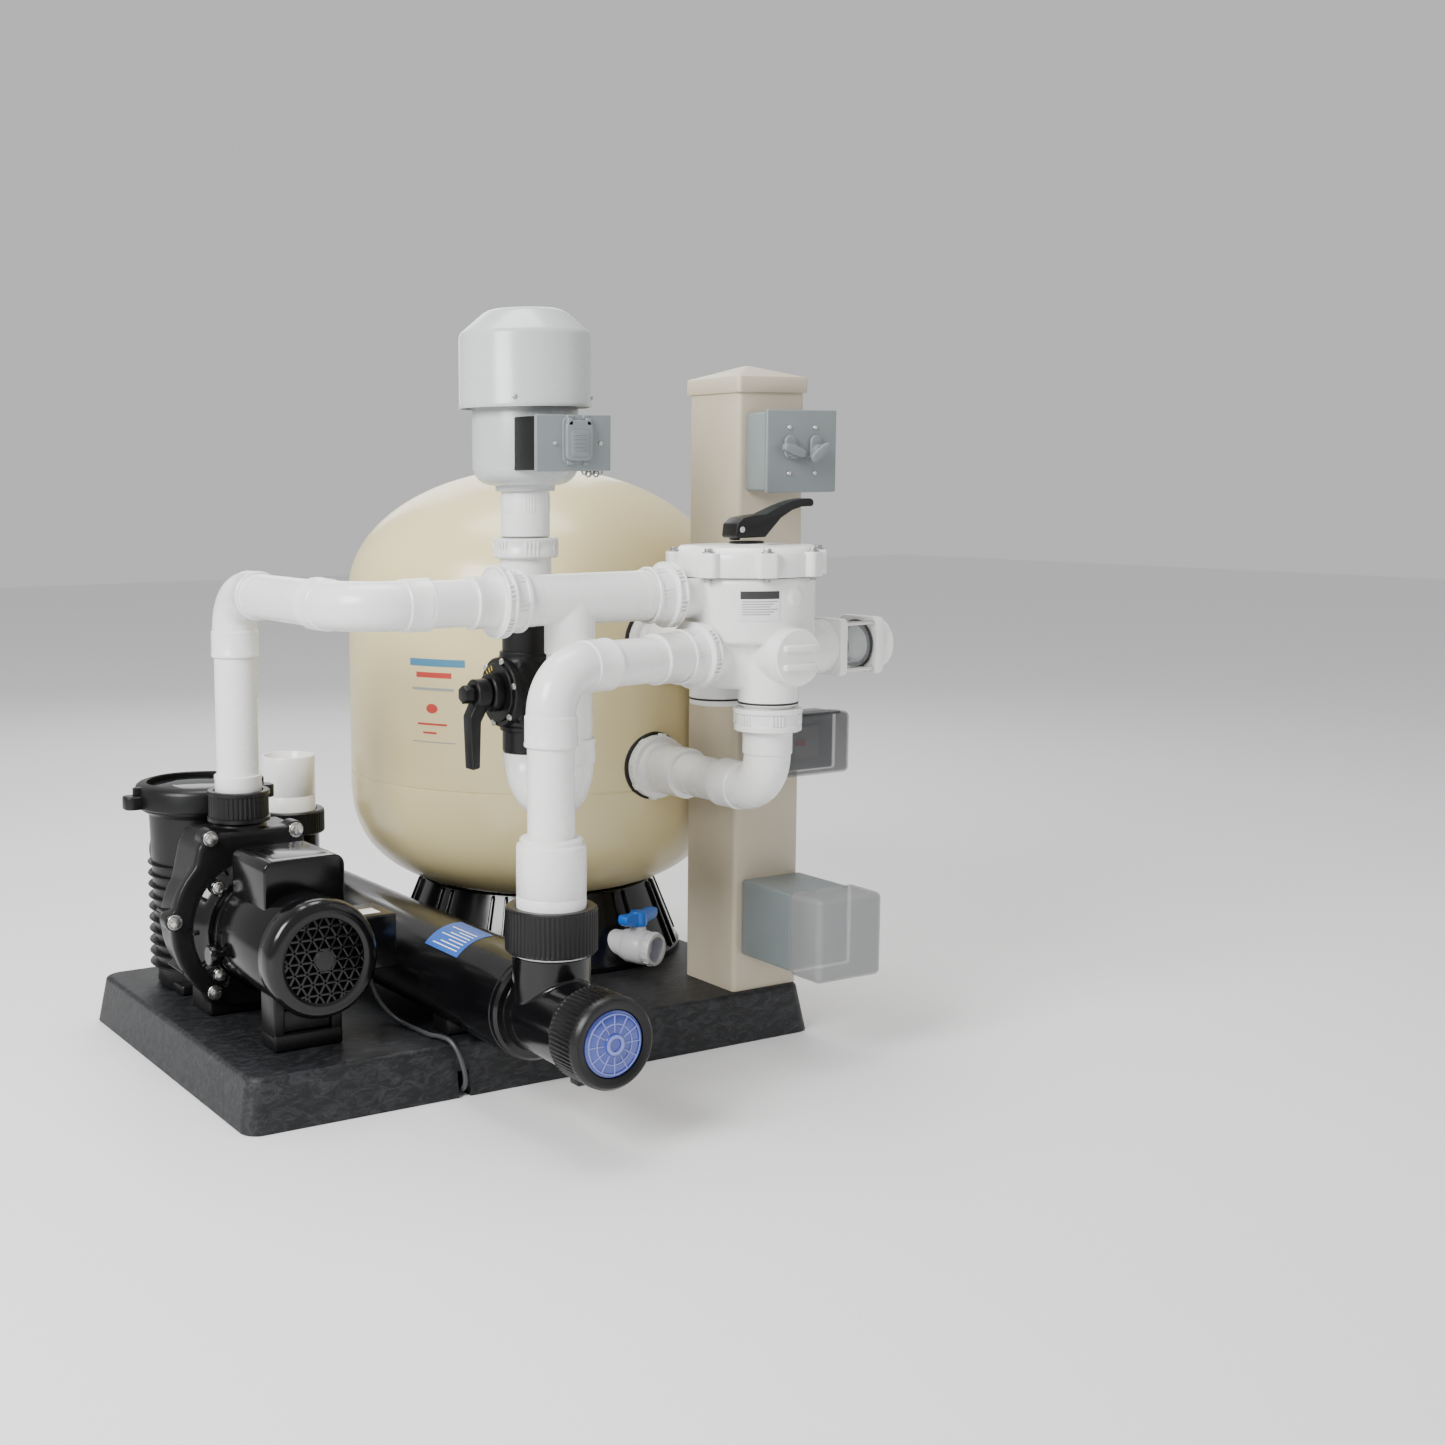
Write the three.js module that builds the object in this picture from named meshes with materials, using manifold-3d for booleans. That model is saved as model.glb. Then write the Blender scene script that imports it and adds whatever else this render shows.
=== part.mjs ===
// Pressurized pond filter: pump, bead filter tank, multiport valve, UV clarifier and air blower,
// piped together on a plastic equipment pad with a switch post.
// Millimetres, +Z up. The origin is the centre of the pad's underside. +Y points to the back.
import * as THREE from 'three';
import { mergeVertices } from 'three/addons/utils/BufferGeometryUtils.js';
import Module from 'manifold-3d';

const wasm = await Module();
wasm.setup();

// ---------------------------------------------------------------- driving dimensions
const GAP = 0.3; // clearance between touching pieces

const PAD = { width: 914, depth: 610, height: 72, taper: 11, corner: 24, edge: 5 };
const POST = { x: 384, y: -225, side: 118, wall: 4, corner: 7, top: 960 };
const CAP = { side: 126, bottom: 944, shoulder: 967, apex: 985 };

const TANK = { x: 240, y: 130, radius: 300, wall: 8, seam: 365, bottom: 172, shoulder: 650, top: 842 };
const SKIRT = { foot: 233, footTop: 84, low: 226, high: 186, top: 187, wall: 7 };
const BULKHEAD_X = 261;
const LOWER_BULKHEAD_Z = 400;

const PIPE = 30.15; // outer radius of 2 in pressure pipe
const BORE = 26; // its inner radius
const BEND_BORE = 25; // inner radius of a bend
const BEND = 31.5; // outer radius of a bend
const SOCKET = 34; // outer radius of a moulded socket
const NUT_BORE = SOCKET + 3 * GAP;

const PUMP = { x: -326, z: 205, motorRadius: 76, riserY: 18, potY: 172 };
const MANIFOLD = { z: 670, lean: 2.15 }; // lean: degrees by which it runs back from the valve
const VALVE = { x: 261, y: -385, portZ: 588, returnZ: 589, radius: 93 };
const BLOWER = { x: -18, y: -265 };
const UV = { x: -99, z: 147.5, radius: 68, front: -602, back: 427, portY: -458, rearPortY: 357 };
const RETURN_ANGLE = Math.atan2(UV.portY - VALVE.y, UV.x - VALVE.x); // heading of the return pipe
const RETURN_SPAN = Math.hypot(UV.portY - VALVE.y, UV.x - VALVE.x); // valve axis to UV port
const AIR_VALVE_Z = 540;
const U_BEND_Z = 455; // height where its two legs start
const DRAIN = { x: 261, y: -93, z: 112, heading: THREE.MathUtils.degToRad(-70) };

const ROUND = 16; // sides of a pipe or a nut
const WIDE = 28; // sides of a housing
const BORE_SIDES = 10; // sides of a hidden bore
const SMALL = 10; // sides of a small pin or boss

// ---------------------------------------------------------------- colours
const paint = (color, roughness, metalness = 0) =>
  new THREE.MeshStandardMaterial({ color, roughness, metalness });
const COLORS = {
  pad: paint('#33363a', 0.75),
  post: paint('#cfc3ae', 0.45),
  tank: paint('#d8c794', 0.35),
  black: paint('#1b1c1e', 0.4),
  motor: paint('#151515', 0.3, 0.2),
  pvc: paint('#f1f1ef', 0.35),
  valve: paint('#f6f6f4', 0.3),
  blower: paint('#dfe2e1', 0.35),
  box: paint('#949d9d', 0.45, 0.3),
  clear: paint('#a9abab', 0.1),
  lens: paint('#3f51a5', 0.2),
  blue: paint('#0f6fd0', 0.4),
  glass: paint('#dfe6e8', 0.05),
  steel: paint('#9aa0a2', 0.3, 0.9),
  cord: paint('#6d7172', 0.5),
};

// ---------------------------------------------------------------- solids
/** A manifold solid from a closed three.js geometry. */
function toSolid(geometry) {
  geometry.deleteAttribute('normal');
  geometry.deleteAttribute('uv');
  const merged = mergeVertices(geometry, 1e-4);
  const mesh = new wasm.Mesh({
    numProp: 3,
    vertProperties: new Float32Array(merged.attributes.position.array),
    triVerts: new Uint32Array(merged.index.array),
  });
  return new wasm.Manifold(mesh);
}

/** The three.js geometry of a solid. */
function toGeometry(solid) {
  const mesh = solid.getMesh();
  const geometry = new THREE.BufferGeometry();
  geometry.setAttribute('position', new THREE.BufferAttribute(mesh.vertProperties, 3));
  geometry.setIndex(new THREE.BufferAttribute(mesh.triVerts, 1));
  geometry.computeVertexNormals();
  return geometry;
}

const join = (...solids) => solids.reduce((all, solid) => all.add(solid));
const cut = (solid, ...tools) => tools.reduce((rest, tool) => rest.subtract(tool), solid);

/** A box given by its two opposite corners. */
function box([x0, y0, z0], [x1, y1, z1]) {
  const geometry = new THREE.BoxGeometry(x1 - x0, y1 - y0, z1 - z0);
  geometry.translate((x0 + x1) / 2, (y0 + y1) / 2, (z0 + z1) / 2);
  return toSolid(geometry);
}

/** A solid of revolution about Z: profile is a list of [radius, z]. */
function turned(profile, sides = ROUND) {
  const points = profile.map(([radius, z]) => new THREE.Vector2(radius, z));
  const geometry = new THREE.LatheGeometry(points, sides);
  geometry.rotateX(Math.PI / 2);
  const solid = toSolid(geometry);
  return solid.volume() > 0 ? solid : toSolid(flipped(geometry));
}

/** The same geometry with its faces turned round. */
function flipped(geometry) {
  const index = geometry.index.array;
  for (let i = 0; i < index.length; i += 3) {
    [index[i], index[i + 1]] = [index[i + 1], index[i]];
  }
  return geometry;
}

/** A rod along Z from z0 to z1. */
const rod = (radius, z0, z1, sides = ROUND) => turned([[0, z0], [radius, z0], [radius, z1], [0, z1]], sides);

/** A rod that cuts a hidden bore. */
const hole = (radius, z0, z1) => rod(radius, z0, z1, BORE_SIDES);

/** A tube along Z from z0 to z1. */
const tube = (outer, inner, z0, z1, sides = ROUND) =>
  turned([[inner, z0], [outer, z0], [outer, z1], [inner, z1], [inner, z0]], sides);

/** A union nut along Z: a grip ring at z0 that tapers towards z1. */
const taperedNut = ({ outer, inner, nose, z0, z1 }) => {
  const waist = z0 + (z1 - z0) * 0.35;
  return turned([[inner, z0], [outer, z0], [outer, waist], [nose, z1], [inner, z1], [inner, z0]]);
};

/** Turns a solid made along +Z to lie along another axis, then moves it. */
function aim(solid, axis, x = 0, y = 0, z = 0) {
  const turns = {
    x: [0, 90, 0],
    '-x': [0, -90, 0],
    y: [-90, 0, 0],
    '-y': [90, 0, 0],
  };
  return solid.rotate(turns[axis]).translate([x, y, z]);
}

/** A circular arc in the XZ plane, from the origin heading +Z, that turns towards +X. */
class Arc extends THREE.Curve {
  constructor(radius, sweep) {
    super();
    this.radius = radius;
    this.sweep = sweep;
  }

  getPoint(t, target = new THREE.Vector3()) {
    const angle = t * this.sweep;
    return target.set(this.radius * (1 - Math.cos(angle)), 0, this.radius * Math.sin(angle));
  }
}

/** A solid round bar bent along an arc. */
function bentBar({ radius, bend, sweep = Math.PI / 2, steps = 5, sides = ROUND }) {
  const shape = new THREE.Shape();
  for (let i = 0; i < sides; i += 1) {
    const angle = (i / sides) * 2 * Math.PI;
    const point = [radius * Math.cos(angle), radius * Math.sin(angle)];
    if (i === 0) shape.moveTo(...point);
    else shape.lineTo(...point);
  }
  const geometry = new THREE.ExtrudeGeometry(shape, {
    steps,
    bevelEnabled: false,
    extrudePath: new Arc(bend, sweep),
  });
  return toSolid(geometry);
}

/**
 * A quarter elbow about its corner point: one leg comes up along Z from below, the other leaves along +X.
 * Returned as its solid outside and the bore to cut from it.
 */
function elbow({ bend, lowSocket, sideSocket, radius = SOCKET }) {
  const outside = join(
    bentBar({ radius: BEND, bend }).translate([0, 0, -bend]),
    rod(radius, -bend - lowSocket, -bend),
    aim(rod(radius, bend, bend + sideSocket), 'x'),
  );
  const bore = join(
    bentBar({ radius: BEND_BORE, bend, sides: BORE_SIDES }).translate([0, 0, -bend]),
    hole(BEND_BORE, -bend - lowSocket - 1, -bend + 0.5),
    aim(hole(BEND_BORE, bend - 0.5, bend + sideSocket + 1), 'x'),
  );
  return { outside, bore };
}

/** Moves both solids of an elbow. */
const placed = ({ outside, bore }, place) => ({ outside: place(outside), bore: place(bore) });

/** A straight length of pipe or socket along Z, with its bore. */
const length = (radius, z0, z1) => ({ outside: rod(radius, z0, z1), bore: hole(BEND_BORE, z0 - 1, z1 + 1) });

/** One hollow piece from lengths and elbows that run into each other. */
const plumbed = (...parts) => {
  const outside = join(...parts.map((part) => part.outside));
  const bore = join(...parts.map((part) => part.bore));
  return cut(outside, bore);
};

/** An outline extruded along Y from y0 to y1; points are [x, z]. */
function extrudedY(points, y0, y1) {
  const shape = new THREE.Shape(points.map(([x, z]) => new THREE.Vector2(x, z)));
  const geometry = new THREE.ExtrudeGeometry(shape, { depth: y1 - y0, bevelEnabled: false });
  geometry.rotateX(Math.PI / 2);
  geometry.translate(0, y1, 0);
  return toSolid(geometry);
}

/** The points of a rounded rectangle, anticlockwise. */
function roundedRectangle(width, depth, radius, steps = 4) {
  const points = [];
  const centres = [[1, 1], [-1, 1], [-1, -1], [1, -1]];
  centres.forEach(([sx, sy], quarter) => {
    for (let i = 0; i <= steps; i += 1) {
      const angle = (quarter + i / steps) * (Math.PI / 2);
      points.push([
        sx * (width / 2 - radius) + radius * Math.cos(angle),
        sy * (depth / 2 - radius) + radius * Math.sin(angle),
      ]);
    }
  });
  return points;
}

/** A convex solid through rings of points, one ring per height. */
function loft(rings) {
  const count = rings[0].points.length;
  const vertices = [];
  const faces = [];
  rings.forEach(({ points, z }) => points.forEach(([x, y]) => vertices.push(x, y, z)));
  for (let level = 0; level + 1 < rings.length; level += 1) {
    for (let i = 0; i < count; i += 1) {
      const a = level * count + i;
      const b = level * count + ((i + 1) % count);
      faces.push(a, b, b + count, a, b + count, a + count);
    }
  }
  const last = (rings.length - 1) * count;
  for (let i = 1; i + 1 < count; i += 1) {
    faces.push(0, i + 1, i, last, last + i, last + i + 1);
  }
  const geometry = new THREE.BufferGeometry();
  geometry.setAttribute('position', new THREE.BufferAttribute(new Float32Array(vertices), 3));
  geometry.setIndex(faces);
  return toSolid(geometry);
}

/** A rounded upright block between two heights, centred on x, y. */
function roundedBlock({ x, y, width, depth, radius, z0, z1 }) {
  const points = roundedRectangle(width, depth, radius);
  return loft([{ points, z: z0 }, { points, z: z1 }]).translate([x, y, 0]);
}

// ---------------------------------------------------------------- scene graph
const filter = new THREE.Group();

/** Adds a solid, given in the object's own frame, as a named piece. */
function piece(name, solid, material) {
  const mesh = new THREE.Mesh(toGeometry(solid), material);
  mesh.name = name;
  filter.add(mesh);
}

// ---------------------------------------------------------------- cord route
const CORD_RADIUS = 3.4;
const CORD_ROUTE = [
  [-205, -150, 159.5],
  [-205, -150, 145],
  [-200, -152, 122],
  [-190, -160, 98],
  [-178, -176, 81],
  [-170, -200, 76.2],
  [-167, -228, 75.9],
  [-164, -254, 76.4],
  [-160, -276, 79],
  [-156, -293, 77.5],
  [-152, -305, 67],
  [-148, -311, 50],
  [-144, -312, 33],
  [-141, -305, 16],
  [-140, -292, 7],
  [-140, -278, 4.2],
  [-140, -266, 3.9],
];
const NOTCH = { x: -140, half: 9, back: -265.6, height: 36 };

// ---------------------------------------------------------------- base and post
function basePad() {
  const { width, depth, height, taper, corner, edge } = PAD;
  const ring = (inset, z) => ({ points: roundedRectangle(width - 2 * inset, depth - 2 * inset, corner), z });
  const block = loft([
    ring(0, 0),
    ring(taper, height - edge),
    ring(taper + 1.5, height - 1.5),
    ring(taper + edge, height),
  ]);
  const front = -depth / 2;
  const notch = box([NOTCH.x - NOTCH.half, front - 1, -1], [NOTCH.x + NOTCH.half, NOTCH.back, NOTCH.height]);
  return cut(block, notch);
}

const WIRE_HOLES = [861, 450, 184]; // heights of the wire holes behind the three boxes

function post() {
  const outer = { x: POST.x, y: POST.y, width: POST.side, depth: POST.side, radius: POST.corner };
  const inner = { ...outer, width: POST.side - 2 * POST.wall, depth: POST.side - 2 * POST.wall, radius: 3 };
  const sleeve = cut(
    roundedBlock({ ...outer, z0: PAD.height + GAP, z1: POST.top }),
    roundedBlock({ ...inner, z0: 0, z1: POST.top + 1 }),
  );
  const front = POST.y - POST.side / 2;
  const holes = WIRE_HOLES.map((z) => aim(rod(11, -10, 10, SMALL), 'y', POST.x, front, z));
  return cut(sleeve, ...holes);
}

function postCap() {
  const square = (side) => roundedRectangle(side, side, 6, 2);
  const outer = loft([
    { points: square(CAP.side), z: CAP.bottom },
    { points: square(CAP.side), z: CAP.shoulder - 2 },
    { points: square(CAP.side - 4), z: CAP.shoulder },
    { points: square(13), z: CAP.apex },
  ]);
  const side = POST.side + 2 * GAP;
  const hollow = roundedBlock({
    x: 0, y: 0, width: side, depth: side, radius: POST.corner, z0: 0, z1: POST.top + GAP,
  });
  return cut(outer, hollow).translate([POST.x, POST.y, 0]);
}

// ---------------------------------------------------------------- tank
/** Points of a dome: a superellipse from the rim (radius, 0) to the axis (0, height). */
function dome(radius, height, power, steps) {
  const points = [];
  for (let i = 0; i <= steps; i += 1) {
    const angle = (i / steps) * (Math.PI / 2);
    const across = i === steps ? 0 : radius * Math.cos(angle) ** (2 / power);
    points.push([across, height * Math.sin(angle) ** (2 / power)]);
  }
  return points;
}

const TOP_POWER = 2;
const BOTTOM_POWER = 2.8;
const TANK_SIDES = 36;

function tankShape(inset, steps) {
  const radius = TANK.radius - inset;
  const low = dome(radius, TANK.seam - TANK.bottom - inset, BOTTOM_POWER, steps);
  const high = dome(radius, TANK.top - TANK.shoulder - inset, TOP_POWER, steps);
  const profile = [
    ...low.reverse().map(([r, h]) => [r, TANK.seam - h]),
    ...high.map(([r, h]) => [r, TANK.shoulder + h]),
  ];
  return turned(profile, TANK_SIDES).translate([TANK.x, TANK.y, 0]);
}

function tankShell() {
  const shell = cut(tankShape(0, 6), tankShape(TANK.wall, 4));
  const opening = (z) => aim(rod(33, -30, 60), 'y', BULKHEAD_X, TANK.y - TANK.radius, z);
  return cut(shell, opening(LOWER_BULKHEAD_Z), opening(VALVE.portZ));
}

function tankSkirt() {
  const { foot, footTop, low, high, top, wall } = SKIRT;
  const bottom = PAD.height + GAP;
  const cone = turned([
    [low - 26, bottom], [foot, bottom], [foot, footTop - 3], [foot - 4, footTop],
    [low, footTop], [high, top], [high - wall, top], [low - wall, footTop],
    [low - 26, footTop], [low - 26, bottom],
  ], WIDE);
  const drainHole = aim(rod(30, -60, 90, SMALL), 'y')
    .rotate([0, 0, 20])
    .translate([DRAIN.x - TANK.x, DRAIN.y - TANK.y, DRAIN.z]);
  return cut(cone, drainHole).translate([TANK.x, TANK.y, 0]);
}

/** A flanged fitting through the tank wall along Y. */
function bulkhead(z) {
  const outside = TANK.y - TANK.radius;
  const solid = turned([
    [BORE, -34], [31.5, -34], [31.5, -17], [47, -17], [47, -GAP], [31.5, -GAP],
    [31.5, 18], [44, 18], [44, 32], [BORE, 32], [BORE, -34],
  ]);
  return aim(solid, 'y', BULKHEAD_X, outside, z);
}

function upperDiffuser() {
  const start = TANK.y - TANK.radius + 32 + GAP;
  const arm = aim(rod(30, 0, 190), 'y', BULKHEAD_X, start, VALVE.portZ);
  const riser = rod(30, VALVE.portZ - 30, 770).translate([BULKHEAD_X, start + 190, 0]);
  const disc = turned([[0, 740], [30, 740], [70, 765], [70, 780], [0, 780]]);
  const head = disc.translate([BULKHEAD_X, start + 190, 0]);
  const armBore = aim(rod(BORE, -1, 190), 'y', BULKHEAD_X, start, VALVE.portZ);
  const riserBore = rod(BORE, VALVE.portZ - 10, 800).translate([BULKHEAD_X, start + 190, 0]);
  return cut(join(arm, riser, head), armBore, riserBore);
}

function lowerLaterals() {
  const start = TANK.y - TANK.radius + 32 + GAP;
  const hubY = start + 258;
  const arm = aim(rod(30, 0, 258), 'y', BULKHEAD_X, start, LOWER_BULKHEAD_Z);
  const drop = rod(34, 215, LOWER_BULKHEAD_Z + 30).translate([BULKHEAD_X, hubY, 0]);
  const spokes = [];
  for (let i = 0; i < 8; i += 1) {
    spokes.push(aim(rod(12, 20, 150, SMALL), 'x').rotate([0, 0, i * 45]).translate([BULKHEAD_X, hubY, 240]));
  }
  const armBore = aim(rod(BORE, -1, 258), 'y', BULKHEAD_X, start, LOWER_BULKHEAD_Z);
  const dropBore = rod(BORE, 222, LOWER_BULKHEAD_Z).translate([BULKHEAD_X, hubY, 0]);
  return cut(join(arm, drop, ...spokes), armBore, dropBore);
}

// ---------------------------------------------------------------- drain valve
const alongDrain = (solid) =>
  aim(solid, 'x')
    .rotate([0, 0, THREE.MathUtils.radToDeg(DRAIN.heading)])
    .translate([DRAIN.x, DRAIN.y, DRAIN.z]);
const DRAIN_BALL = 27; // distance of the ball's centre along the valve

function drainBody() {
  const outer = turned([
    [0, -40], [20, -40], [20, 4], [24, 4], [24, 10], [26.5, 12], [26.5, 44], [24.5, 46], [24.5, 62], [0, 62],
  ]);
  const boss = rod(12, 0, 33, SMALL);
  const solid = join(alongDrain(outer), boss.translate(alongDrainPoint(DRAIN_BALL)));
  const waterway = [[0, -41], [15, -41], [15, 9], [20, 12], [20, 44], [17, 46], [17, 63], [0, 63]];
  const bore = alongDrain(turned(waterway));
  return cut(solid, bore, rod(6, 0, 40, SMALL).translate(alongDrainPoint(DRAIN_BALL)));
}

function alongDrainPoint(distance) {
  return [
    DRAIN.x + distance * Math.cos(DRAIN.heading),
    DRAIN.y + distance * Math.sin(DRAIN.heading),
    DRAIN.z,
  ];
}

function drainHandle() {
  const ball = toSolid(new THREE.SphereGeometry(18.5, 12, 8));
  const channel = aim(rod(11, -20, 20, SMALL), 'y');
  const blade = [[-42, 45], [-36, 38], [36, 38], [42, 45], [42, 55], [14, 53], [-14, 53], [-42, 55]];
  const wing = extrudedY(blade, -8, 8);
  const solid = join(cut(ball, channel), rod(5.5, 14, 45, SMALL), rod(14, 33 + GAP, 54, SMALL), wing);
  return solid.rotate([0, 0, 20]).translate(alongDrainPoint(DRAIN_BALL));
}

// ---------------------------------------------------------------- pump
const alongPump = (solid) => aim(solid, 'y', PUMP.x, 0, PUMP.z);
const INLET_Z = 262; // height of the suction inlet

function strainerPot() {
  const floor = PAD.height + GAP;
  const wall = turned([
    [0, floor], [66, floor], [70, floor + 40], [75, 300], [76, 338], [88, 342], [88, 352],
    [71, 352], [69, 300], [62, floor + 40], [56, floor + 12], [0, floor + 12],
  ], WIDE).translate([PUMP.x, PUMP.potY, 0]);
  const neck = aim(rod(36, 92.3 + GAP, 130), 'y', PUMP.x, 0, PUMP.z);
  const spout = turned([[0, 60], [42, 60], [42, 92], [46, 92], [46, 104], [0, 104]]);
  const inlet = aim(spout, 'y', PUMP.x, PUMP.potY, INLET_Z);
  const base = box([PUMP.x - 58, PUMP.potY - 66, floor], [PUMP.x + 58, PUMP.potY + 40, floor + 16]);
  const solid = join(wall, neck, inlet, base);
  const hollow = turned([
    [0, floor + 12], [56, floor + 12], [62, floor + 40], [69, 300], [71, 353], [0, 353],
  ], WIDE);
  return cut(
    solid,
    hollow.translate([PUMP.x, PUMP.potY, 0]),
    aim(rod(BORE, 90, 150), 'y', PUMP.x, 0, PUMP.z),
    aim(rod(BORE, 50, 110), 'y', PUMP.x, PUMP.potY, INLET_Z),
  );
}

function strainerBasket() {
  const cup = turned([
    [0, 96], [46, 96], [52, 108], [60, 320], [67, 322], [67, 326], [56, 326], [49, 110], [0, 100],
  ], ROUND);
  return cup.translate([PUMP.x, PUMP.potY, 0]);
}

const LID = { radius: 96, bottom: 346, top: 383, lug: 119 };

function lidRing() {
  const ring = turned([
    [88 + 2 * GAP, LID.bottom], [LID.radius, LID.bottom], [LID.radius, LID.top - 4], [LID.radius - 4, LID.top],
    [78, LID.top], [78, 366], [88 + 2 * GAP, 362], [88 + 2 * GAP, LID.bottom],
  ], WIDE);
  const lug = (side) => box(
    [Math.min(side * 92, side * LID.lug), -14, LID.bottom],
    [Math.max(side * 92, side * LID.lug), 14, LID.bottom + 22],
  );
  return join(ring, lug(1), lug(-1)).translate([PUMP.x, PUMP.potY, 0]);
}

function strainerLid() {
  const disc = turned([
    [0, 352 + GAP], [87, 352 + GAP], [87, 360], [77, 364], [77, 372], [60, 377], [0, 380],
  ], WIDE);
  return disc.translate([PUMP.x, PUMP.potY, 0]);
}

function volute() {
  const front = -24;
  const rear = 92;
  const top = 338;
  const casing = alongPump(turned([
    [0, front], [120, front], [120, front + 18], [112, front + 22],
    [112, 62], [84, rear - 8], [60, rear], [0, rear],
  ], WIDE));
  const head = box([PUMP.x - 70, front, PUMP.z], [PUMP.x + 70, 62, top]);
  const port = rod(38, 300, 346).translate([PUMP.x, PUMP.riserY, 0]);
  const foot = box([PUMP.x - 64, -14, PAD.height + GAP], [PUMP.x + 64, 58, 130]);
  const chamber = alongPump(rod(92, -8, 56));
  const mouth = alongPump(rod(80, front - 1, 0));
  const eye = alongPump(rod(BORE, 40, rear + 1));
  const outlet = rod(BORE, PUMP.z, 347).translate([PUMP.x, PUMP.riserY, 0]);
  return cut(join(casing, head, port, foot), chamber, mouth, eye, outlet);
}

function sealPlate() {
  return alongPump(turned([
    [10, -60], [80, -60], [80, -52], [92, -38], [92, -24 - GAP], [79, -24 - GAP], [79, -8 - GAP],
    [40, -8 - GAP], [10, -16], [10, -60],
  ]));
}

const MOTOR = { front: -236, back: -60.3, bore: 46 };

function motorShell() {
  const barrel = alongPump(turned([
    [MOTOR.bore, MOTOR.front], [PUMP.motorRadius, MOTOR.front], [PUMP.motorRadius, MOTOR.back],
    [12, MOTOR.back], [12, MOTOR.back - 10], [MOTOR.bore, MOTOR.back - 10], [MOTOR.bore, MOTOR.front],
  ], WIDE));
  const floor = PAD.height + GAP;
  const foot = box([PUMP.x - 50, -212, floor], [PUMP.x + 50, -165, 142]);
  const arch = box([PUMP.x - 38, -200, floor - 1], [PUMP.x + 38, -164, 126]);
  return join(barrel, cut(foot, arch));
}

function fanCover() {
  const front = -268;
  const cup = alongPump(turned([
    [0, front], [62, front], [76, front + 4], [80, front + 12], [80, MOTOR.front - GAP], [74, MOTOR.front - GAP],
    [74, front + 10], [60, front + 4], [0, front + 4],
  ], WIDE));
  const vents = [];
  for (let i = 0; i < 8; i += 1) {
    const angle = (i / 8) * 2 * Math.PI;
    const vent = rod(9, front - 1, front + 6, 6).translate([40 * Math.cos(angle), 40 * Math.sin(angle), 0]);
    vents.push(alongPump(vent));
  }
  return cut(cup, ...vents);
}

function pumpRotor() {
  return alongPump(turned([
    [0, -258], [58, -258], [58, -246], [8, -246], [8, -215], [44, -215], [44, -82], [8, -82],
    [8, 2], [72, 2], [72, 12], [34, 22], [30, 40], [0, 40],
  ]));
}

function capacitorCover() {
  const left = -52;
  const right = 68;
  const bottom = 250;
  const top = 327;
  const radius = 14;
  const outline = [[left, bottom], [right, bottom]];
  for (let i = 0; i <= 4; i += 1) {
    const angle = (i / 8) * Math.PI;
    outline.push([right - radius + radius * Math.cos(angle), top - radius + radius * Math.sin(angle)]);
  }
  for (let i = 4; i <= 8; i += 1) {
    const angle = (i / 8) * Math.PI;
    outline.push([left + radius + radius * Math.cos(angle), top - radius + radius * Math.sin(angle)]);
  }
  const block = extrudedY(outline, -190, -78).translate([PUMP.x, 0, 0]);
  return cut(block, alongPump(rod(PUMP.motorRadius + GAP, -200, -60, WIDE)));
}

const JUNCTION = { x0: -262, x1: -188, y0: -206, y1: -130, z0: 163, z1: 240 };

function junctionBox() {
  const block = box([JUNCTION.x0, JUNCTION.y0, JUNCTION.z0], [JUNCTION.x1, JUNCTION.y1, JUNCTION.z1]);
  return cut(block, alongPump(rod(PUMP.motorRadius + GAP, -220, -110, WIDE)));
}

const DISCHARGE_SEAT = 346; // top face of the pump's discharge port

function dischargeNut() {
  return tube(45, NUT_BORE, DISCHARGE_SEAT + GAP, 390).translate([PUMP.x, PUMP.riserY, 0]);
}

// ---------------------------------------------------------------- discharge line and manifold
// The manifold is measured outward from the valve's axis; it leaves the valve towards -X.
const CORNER_BEND = 66;
const RISER_BEND = 52;
const UNION_SPLIT = 372; // meeting face inside the union at the pump's end
const UNION_TAIL = 427;
const UNION_NUT = { outer: 47, inner: NUT_BORE, nose: 44, z0: 354, z1: 392 };
const VALVE_SEAT = 138; // where the tee meets the valve's port
const VALVE_NUT = { outer: 44, inner: NUT_BORE, nose: 39, z0: 121, z1: 162 };
const BRANCH_BOTTOM = 597;
const LEAN = THREE.MathUtils.degToRad(MANIFOLD.lean);
const manifoldY = (x) => VALVE.y + (VALVE.x - x) * Math.tan(LEAN);

/** Lays a solid made along +Z on the manifold's line, its origin at the valve's axis. */
function alongManifold(solid) {
  return aim(solid, '-x').rotate([0, 0, -MANIFOLD.lean]).translate([VALVE.x, VALVE.y, MANIFOLD.z]);
}

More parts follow.
